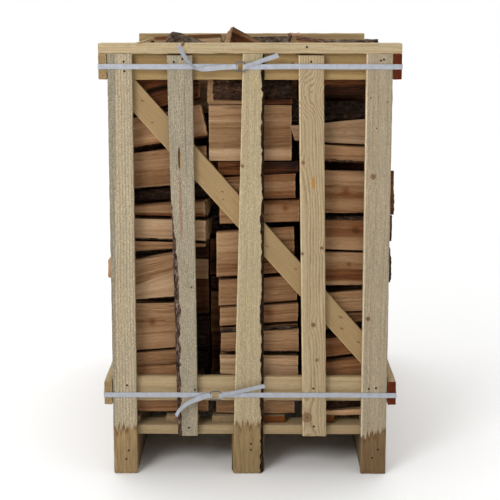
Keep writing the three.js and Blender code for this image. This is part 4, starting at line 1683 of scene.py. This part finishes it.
@dataclass
class Firewood:
    """The three columns of split logs and the loose logs on top."""

    seed: int = 20
    rows: int = 10
    front_deep: float = 0.118
    heights: tuple = (0.045, 0.06, 0.075, 0.09, 0.11, 0.13)
    fine: float = 0.008
    coarse: float = 0.0125
    out: float = 0.022

    def build(self) -> None:
        """Make the front row, the rest of the stack and the top logs."""
        finish = SplitFinish()
        for name, (left, right) in COLUMN_ENDS.items():
            bundle = Bundle(f"firewood_{name}_logs")
            for billet in FRONT_LOGS:
                if left - 0.04 < billet.left < right:
                    billet.add_to(bundle)
            self.fill(bundle, name, left, right)
            bundle.build(finish, "firewood", (f"firewood_{name}",))
        low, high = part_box("top_log_2")
        shift = (low.y + high.y) / 2 - LOOSE_LOGS[1].at[1]
        for k, log in enumerate(LOOSE_LOGS, 1):
            bundle = Bundle(f"top_log_{k}_split")
            log.billet(shift, 900 + k).add_to(bundle)
            bundle.build(finish, "firewood", (f"top_log_{k}",))

    def fill(self, bundle: Bundle, name: str, left: float, right: float) -> None:
        """Stack logs behind the front row, row by row to the back.

        Args:
            bundle: the column's mesh.
            name: the column's name.
            left: the column's left end.
            right: its right end.
        """
        rng = np.random.default_rng(self.seed + int(abs(left) * 1000))
        start = LOG_FRONT + self.front_deep
        row_deep = (STACK_BACK - start) / self.rows
        for row in range(self.rows):
            near = start + row * row_deep
            level = STACK_FLOOR
            waiting = list(STANDING_OUT[name]) if row == 0 else []
            while level < STACK_TOP - 0.03:
                high = min(rng.choice(self.heights) + rng.uniform(-0.008, 0.008),
                           STACK_TOP + rng.uniform(-0.015, 0.012) - level)
                out = np.array([0.0, 0.0])
                if waiting and level + high > waiting[0][0] - 0.03:
                    if level < waiting[0][0] - 0.012:
                        high = waiting[0][0] - level
                    else:
                        low, up, reach = waiting.pop(0)
                        high = up - level
                        out[0 if name == "left" else 1] = reach
                elif self.free(near, row_deep) and row > 0 and rng.random() < 0.2:
                    out[:] = self.out * (left < -0.3), self.out * (right > 0.3)
                billet = self.inner(rng, level, high, left - out[0], right + out[1], near, row_deep, row)
                if out[0] > 0.03:
                    billet.bark, billet.level, billet.hue = Side.BACK, 0.85, 0.7
                billet.add_to(bundle)
                level += high

    def inner(self, rng: Random, level: float, high: float, left: float, right: float, near: float,
              deep: float, row: int) -> Billet:
        """One log of the rows behind the front.

        Args:
            rng: the random source.
            level: its underside.
            high: its height.
            left: its left end.
            right: its right end.
            near: its front.
            deep: the row's depth.
            row: the row's number.

        Returns:
            The log.
        """
        top = level + high > STACK_TOP - 0.05
        side = rng.choice([Side.BACK, Side.UNDER, Side.TOP, Side.FRONT, Side.ALL], p=[.3, .22, .18, .2, .1])
        if top:
            side = rng.choice([Side.TOP, Side.ALL, Side.UNDER, Side.BACK], p=[.4, .2, .25, .15])
        if side is Side.ALL and high > deep * 1.15:
            side = Side.BACK
        # random tone; the two rows behind the front, below the top, are darkened further as painted shade of
        # the deep stack
        tone_with_painted_shade = rng.uniform(0.5, 0.78) * (0.32 if row < 2 and not top else 1.0)
        spacing = self.fine if row in (0, self.rows - 1) or top else self.coarse
        skew, slope = rng.uniform(-0.004, 0.004), rng.uniform(-0.008, 0.008)
        return Billet(left + rng.uniform(-0.002, 0.006), right + rng.uniform(-0.006, 0.002),
                      (level + 0.002 + max(skew, 0), level + 0.002 + max(-skew, 0)),
                      (level + high - max(slope, 0), level + high - max(-slope, 0)), near + 0.002,
                      deep - 0.004, tone_with_painted_shade, rng.uniform(0.05, 0.85), side, rng.uniform(0.45, 0.95),
                      spacing, int(rng.integers(1, 1 << 30)), rng.uniform(-1.2, 1.2))

    @staticmethod
    def free(near: float, deep: float) -> bool:
        """Whether a row lies between two side slats, so that a log may stand out there."""
        slats = [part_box(f"left_slat_{k}") for k in SLATS]
        return all(near > high.y + 0.004 or near + deep < low.y - 0.004 for low, high in slats)


# ---------------------------------------------------------------- straps, buckles and nails


def ribbon(bundle: Bundle, path: np.ndarray, across: np.ndarray, wide: float, thick: float) -> None:
    """Sweep a flat band along a path.

    Args:
        bundle: the mesh to add to.
        path: (n, 3) middle line.
        across: (n, 3) unit vectors across the band.
        wide: the band's width.
        thick: its thickness.
    """
    out = unit(np.cross(unit(np.gradient(path, axis=0)), across))
    a = np.concatenate([np.linspace(-1, 1, 7), np.linspace(1, -1, 7)])
    d = np.concatenate([np.full(7, 1.0), np.full(7, -1.0)])
    d[[0, 6, 7, 13]] *= 0.55
    points = (path[:, None] + across[:, None] * (a * wide / 2)[None, :, None]
              + out[:, None] * (d * thick / 2)[None, :, None])
    length = np.concatenate([[0], np.cumsum(np.linalg.norm(np.diff(path, axis=0), axis=1))])
    grain = np.stack([np.repeat(length[:, None], 14, 1), np.repeat((a * wide / 2)[None], len(path), 0),
                      np.repeat((d * thick)[None], len(path), 0)], 2)
    bundle.add(points, cap_rings=1, grain=grain)


def smooth_path(points: list, count: int) -> np.ndarray:
    """A smooth line through given points (Catmull-Rom).

    Args:
        points: the points, of any number of parts.
        count: points per stretch.

    Returns:
        The line's points.
    """
    p = np.array([points[0], *points, points[-1]], float)
    out = []
    for k in range(1, len(p) - 2):
        t = np.linspace(0, 1, count, endpoint=False)[:, None]
        a, b, c, d = p[k - 1], p[k], p[k + 1], p[k + 2]
        out.append(0.5 * (2 * b + (c - a) * t + (2 * a - 5 * b + 4 * c - d) * t**2
                          + (3 * b - a - 3 * c + d) * t**3))
    out.append(p[-2][None])
    return np.concatenate(out)


@dataclass
class Strap:
    """A strap round the crate, with a buckle at the front and two loose ends."""

    prefix: str
    ends: tuple
    wide: float = 0.0148
    thick: float = 0.0009
    wire: float = 0.0019
    gap: float = 0.0012
    bend: float = 0.0025
    stretch: float = 0.012

    def build(self) -> None:
        """Make the band with its loose ends, and the buckle."""
        bundle = Bundle(f"{self.prefix}_strap_band")
        frame_low, frame_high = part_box(f"{self.prefix}_buckle")
        height = (frame_low.z + frame_high.z) / 2
        bars = frame_low.x + self.wire, frame_high.x - self.wire
        flat = self.course(*bars)
        rng = np.random.default_rng(int(height * 1000))
        s = np.arange(len(flat)) * self.stretch
        path = np.column_stack([flat, height + 0.0005 * waves(rng, s, 0.3)])
        ribbon(bundle, path, np.tile((0.0, 0.0, 1.0), (len(path), 1)), self.wide, self.thick)
        for bar, side in zip(bars, (-1, 1)):
            self.wrap(bundle, bar, side, height)
        for points in self.ends:
            self.loose_end(bundle, points)
        bundle.build(StrapFinish(), "strap_weave", (f"{self.prefix}_strap",), STRAP_SHARP)
        self.buckle()

    def course(self, left: float, right: float) -> np.ndarray:
        """The strap's way round the crate, seen from above, with rounded corners.

        Args:
            left: the buckle's left bar.
            right: its right bar.

        Returns:
            The points of the way, as x and y.
        """
        low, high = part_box("left_top_rail")[0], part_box("right_top_rail")[1]
        x0, x1, y0, y1 = low.x - self.gap, high.x + self.gap, FRONT - self.gap, BACK + self.gap
        corners = [(left - 0.001, y0), (x0, y0), (x0, y1), (x1, y1), (x1, y0), (right + 0.001, y0)]
        line = [np.array(corners[0])]
        for k in range(1, len(corners) - 1):
            before, here, after = (np.array(corners[i]) for i in (k - 1, k, k + 1))
            into = here + (before - here) / np.linalg.norm(before - here) * self.bend
            away = here + (after - here) / np.linalg.norm(after - here) * self.bend
            for t in np.linspace(0, 1, 5):
                line.append((1 - t) ** 2 * into + 2 * t * (1 - t) * here + t * t * away)
        line.append(np.array(corners[-1]))
        dense = []
        for a, b in zip(line[:-1], line[1:]):
            n = max(1, int(np.linalg.norm(b - a) / self.stretch))
            dense += [a + (b - a) * i / n for i in range(n)]
        dense.append(line[-1])
        return np.array(dense)

    def wrap(self, bundle: Bundle, bar: float, side: int, height: float) -> None:
        """The strap's turn round one upright bar of the buckle.

        Args:
            bundle: the strap's mesh.
            bar: where the bar stands.
            side: -1 for the left bar, 1 for the right one.
            height: the strap's middle height.
        """
        y = self.wire_place()
        r = self.wire + 0.0007
        angles = np.radians(np.linspace(-90, 90, 9))
        turn = [(bar - side * r * math.cos(a), y + r * math.sin(a)) for a in angles]
        steps = [(bar + side * 0.013, FRONT - 0.0026), (bar + side * 0.006, y - r * 0.8), *turn,
                 (bar + side * 0.006, FRONT - 0.0006)]
        path = np.array([(x, depth, height) for x, depth in steps])
        ribbon(bundle, path, np.tile((0.0, 0.0, 1.0), (len(path), 1)), self.wide * 0.93, self.thick)

    def wire_place(self) -> float:
        """How far forward the buckle's wire stands."""
        low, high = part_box(f"{self.prefix}_buckle")
        return (low.y + high.y) / 2

    def loose_end(self, bundle: Bundle, points: tuple) -> None:
        """Add one loose end.

        Args:
            bundle: the strap's mesh.
            points: the listed (x, stand-off in front, z, roll in degrees) points.
        """
        line = smooth_path([(x, FRONT - 0.003 - out, z, roll) for x, out, z, roll in points], 9)
        path, roll = line[:, :3], np.radians(line[:, 3])[:, None]
        run = unit(np.gradient(path, axis=0))
        flat = unit(np.cross(np.array((0.0, -1.0, 0.0)), run))
        across = flat * np.cos(roll) + np.cross(run, flat) * np.sin(roll)
        ribbon(bundle, path, across, self.wide, self.thick)

    def buckle(self) -> None:
        """The bent wire buckle: a rounded frame whose two wire ends lie side by side on one bar."""
        node = f"{self.prefix}_buckle"
        low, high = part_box(node)
        wire = self.wire
        hx, hz = (high.x - low.x) / 2 - wire + 0.0012, (high.z - low.z) / 2 - wire + 0.0008
        cx, cz, y = (low.x + high.x) / 2, (low.z + high.z) / 2, self.wire_place()
        outline = [(-hx * 0.35, hz), (hx * 0.7, hz), (hx, hz * 0.7), (hx, -hz * 0.7), (hx * 0.7, -hz),
                   (-hx * 0.7, -hz), (-hx, -hz * 0.7), (-hx, hz * 0.7), (-hx * 0.7, hz), (-hx * 0.1, hz)]
        lift = [0.0] * 5 + [0.0006] * 2 + [0.0012] * 3
        path = smooth_path([(cx + a, y - b * 1.3, cz + c) for (a, c), b in zip(outline, lift)], 7)
        bundle = Bundle(node + "_wire")
        run = unit(np.gradient(path, axis=0))
        front = np.tile((0.0, -1.0, 0.0), (len(path), 1))
        side = np.cross(run, front)
        angles = np.linspace(0, 2 * math.pi, 12, endpoint=False)
        points = (path[:, None] + side[:, None] * (np.cos(angles) * wire)[None, :, None]
                  + front[:, None] * (np.sin(angles) * wire)[None, :, None])
        bundle.add(points, cap_rings=1, grain=points.copy())
        bundle.build(WireFinish("zinc_wire"), "zinc_wire", (node,), STRAP_SHARP)


FRONT_NAILS = (
    (-0.3527, 1.2055), (-0.3508, 1.1790), (-0.3572, 0.2686), (-0.3553, 0.0704), (-0.3624, 0.0443),
    (-0.2128, 1.2049), (-0.1888, 1.2132), (-0.16, 0.2553), (-0.1783, 0.1401), (0.1705, 1.2057),
    (0.184, 0.2598), (0.1864, 0.1446), (0.3646, 1.209), (0.3729, 1.2118), (0.3452, 0.2589),
    (0.3655, 0.2613), (0.3742, 0.0744), (0.357, 0.0492), (0.0026, 0.0912), (0.0026, 0.0728),
)
CAP_NAIL = (0.1582, 1.2465)


@dataclass
class Nails:
    """Nail heads sunk a little into the boards, front, back and sides."""

    radius: float = 0.0032

    def build(self) -> None:
        """Make all nail heads as one object."""
        bundle = Bundle("nail_heads")
        for x, z in (*FRONT_NAILS, CAP_NAIL):
            self.head(bundle, (x, FRONT, z), (0, -1, 0))
        for x, z in FRONT_NAILS:
            self.head(bundle, (-x, BACK, z), (0, 1, 0))
        self.side(bundle, "left", -1)
        self.side(bundle, "right", 1)
        bundle.build(WireFinish("nail_iron", (0.045, 0.034, 0.026), 0.6, (0.5, 0.8)), "zinc_wire")

    def side(self, bundle: Bundle, prefix: str, sign: int) -> None:
        """Add two nail heads where each slat of one side crosses a rail.

        Args:
            bundle: the mesh to add to.
            prefix: the side's name.
            sign: -1 for the left side, 1 for the right one.
        """
        for rail in ("top_rail", "low_rail"):
            low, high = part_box(f"{prefix}_{rail}")
            for k in SLATS:
                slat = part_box(f"{prefix}_slat_{k}")
                y = (slat[0].y + slat[1].y) / 2
                for shift in (-0.017, 0.015):
                    place = (high.x if sign > 0 else low.x, y + shift, (low.z + high.z) / 2 + shift)
                    self.head(bundle, place, (sign, 0, 0))

    def head(self, bundle: Bundle, place: tuple, outward: tuple) -> None:
        """Add one domed nail head.

        Args:
            bundle: the mesh to add to.
            place: where it sits.
            outward: the way it faces.
        """
        a = np.linspace(0, 2 * math.pi, 12, endpoint=False)
        out = np.array(outward, float)
        up = np.array((0.0, 0.0, 1.0))
        side = np.cross(up, out)
        rings = ((1.0, -0.0012), (1.0, 0.00015), (0.8, 0.0004))
        points = np.stack([np.array(place) + out * d + side * (np.cos(a) * self.radius * r)[:, None]
                           + up * (np.sin(a) * self.radius * r)[:, None] for r, d in rings])
        bundle.add(points, cap_rings=1, grain=points.copy())


# ---------------------------------------------------------------- room


@dataclass
class Studio:
    """Camera, lights and floor."""

    lens: float = 81.4
    pitch: float = 8.05
    distance: float = 3.16
    height: float = 1.362
    aside: float = 0.018
    shift: float = -0.17
    key_place: tuple = (-2.1, -3.9, 3.0)
    key_size: float = 1.7
    key_power: float = 98.0
    sun_power: float = 0.9
    sun_spread: float = 50.0
    sun_lean: float = -24.0
    floor_half: float = 30.0
    floor_grey: float = 0.93
    aim: tuple = (0.0, -0.3, 0.65)

    def build(self) -> None:
        """Set up the view, the light and the pale floor."""
        camera = bpy.data.cameras.new("camera")
        camera.lens = self.lens
        camera.sensor_width = 36.0
        camera.shift_y = self.shift
        camera.clip_end = 60.0
        holder = bpy.data.objects.new("camera", camera)
        holder.location = (self.aside, FRONT - self.distance, self.height)
        holder.rotation_euler = (math.radians(90 - self.pitch), 0.0, math.atan(self.aside / self.distance))
        bpy.context.scene.collection.objects.link(holder)
        bpy.context.scene.camera = holder
        self.light("key", self.key_place, self.key_size, self.key_power)
        self.sky()
        bpy.context.scene.view_settings.view_transform = "Standard"
        self.floor()

    def sky(self) -> None:
        """Add a wide overhead sun and a world that is darker in front than behind."""
        sun = bpy.data.lights.new("top", "SUN")
        sun.energy = self.sun_power
        sun.angle = math.radians(self.sun_spread)
        above = bpy.data.objects.new("top", sun)
        above.rotation_euler = (math.radians(self.sun_lean), 0.0, 0.0)
        bpy.context.scene.collection.objects.link(above)
        world = bpy.data.worlds.new("studio")
        world.use_nodes = True
        nodes, links = world.node_tree.nodes, world.node_tree.links
        kinds = ("TexCoord", "SeparateXYZ", "MapRange")
        place, split, spread = (nodes.new(f"ShaderNode{kind}") for kind in kinds)
        for label, number in (("From Min", -0.8), ("From Max", 0.1), ("To Min", 0.38), ("To Max", 1.0)):
            spread.inputs[label].default_value = number
        links.new(place.outputs["Generated"], split.inputs[0])
        links.new(split.outputs["Y"], spread.inputs["Value"])
        links.new(spread.outputs["Result"], nodes["Background"].inputs["Strength"])
        nodes["Background"].inputs["Color"].default_value = (1.0, 1.0, 1.0, 1.0)
        bpy.context.scene.world = world

    def light(self, name: str, place: tuple, size: float, power: float) -> None:
        """Add one soft square light aimed at the crate's middle.

        Args:
            name: its name.
            place: where it stands.
            size: its edge length.
            power: watts.
        """
        lamp = bpy.data.lights.new(name, "AREA")
        lamp.size = size
        lamp.energy = power
        thing = bpy.data.objects.new(name, lamp)
        thing.location = place
        aim = np.array(self.aim) - np.array(place)
        yaw = math.atan2(aim[0], aim[1])
        thing.rotation_euler = (math.atan2(math.hypot(aim[0], aim[1]), -aim[2]), 0.0, -yaw)
        bpy.context.scene.collection.objects.link(thing)

    def floor(self) -> None:
        """A wide pale floor."""
        half = self.floor_half
        mesh = bpy.data.meshes.new("floor")
        corners = [(-half, -half, 0), (half, -half, 0), (half, half, 0), (-half, half, 0)]
        mesh.from_pydata(corners, [], [(0, 1, 2, 3)])
        ground = bpy.data.objects.new("floor", mesh)
        ground.location.z = -0.0005
        bpy.context.scene.collection.objects.link(ground)
        g = Graph("pale_floor")
        g.give("Base Color", (self.floor_grey, self.floor_grey, self.floor_grey, 1.0))
        g.give("Roughness", 0.9)
        mesh.materials.append(g.material)


# loose ends of the straps: (x, stand-off in front, z, roll in degrees)
UPPER_ENDS = (
    ((-0.037, 0.0, 1.1922, 0), (-0.078, 0.001, 1.1905, 0), (-0.111, 0.003, 1.1872, 5),
     (-0.134, 0.005, 1.1852, 35), (-0.149, 0.007, 1.1872, 66), (-0.156, 0.009, 1.1914, 62),
     (-0.1707, 0.014, 1.2063, 56), (-0.1819, 0.018, 1.2228, 48), (-0.1975, 0.024, 1.2515, 36)),
    ((-0.016, 0.0, 1.1925, 0), (0.004, 0.003, 1.198, 35), (0.0332, 0.009, 1.209, 32),
     (0.0555, 0.013, 1.2165, 28), (0.0783, 0.018, 1.2248, 24)),
)
LOWER_ENDS = (
    ((-0.113, 0.0, 0.240, 0), (-0.132, 0.003, 0.2375, 8), (-0.150, 0.007, 0.2315, 30),
     (-0.168, 0.011, 0.2255, 45), (-0.187, 0.015, 0.2155, 55), (-0.204, 0.019, 0.2015, 58),
     (-0.2135, 0.022, 0.1855, 52)),
    ((-0.087, 0.0, 0.240, 0), (-0.052, 0.004, 0.2475, 20), (-0.01, 0.009, 0.2595, 25),
     (0.043, 0.014, 0.273, 18)),
)


def main() -> None:
    """Build the room and the crate."""
    logging.basicConfig(level=logging.INFO, format="%(name)s: %(message)s")
    parts = (
        Studio(), Strap("upper", UPPER_ENDS), Strap("lower", LOWER_ENDS), EndFrame("front", -1),
        EndFrame("back", 1, 0.014), SideFrame("left", -1), SideFrame("right", 1), BaseFrame(), Firewood(),
        Nails(),
    )
    for thing in parts:
        thing.build()
        LOG.info("built %s", type(thing).__name__)


if __name__ == "__main__":
    main()
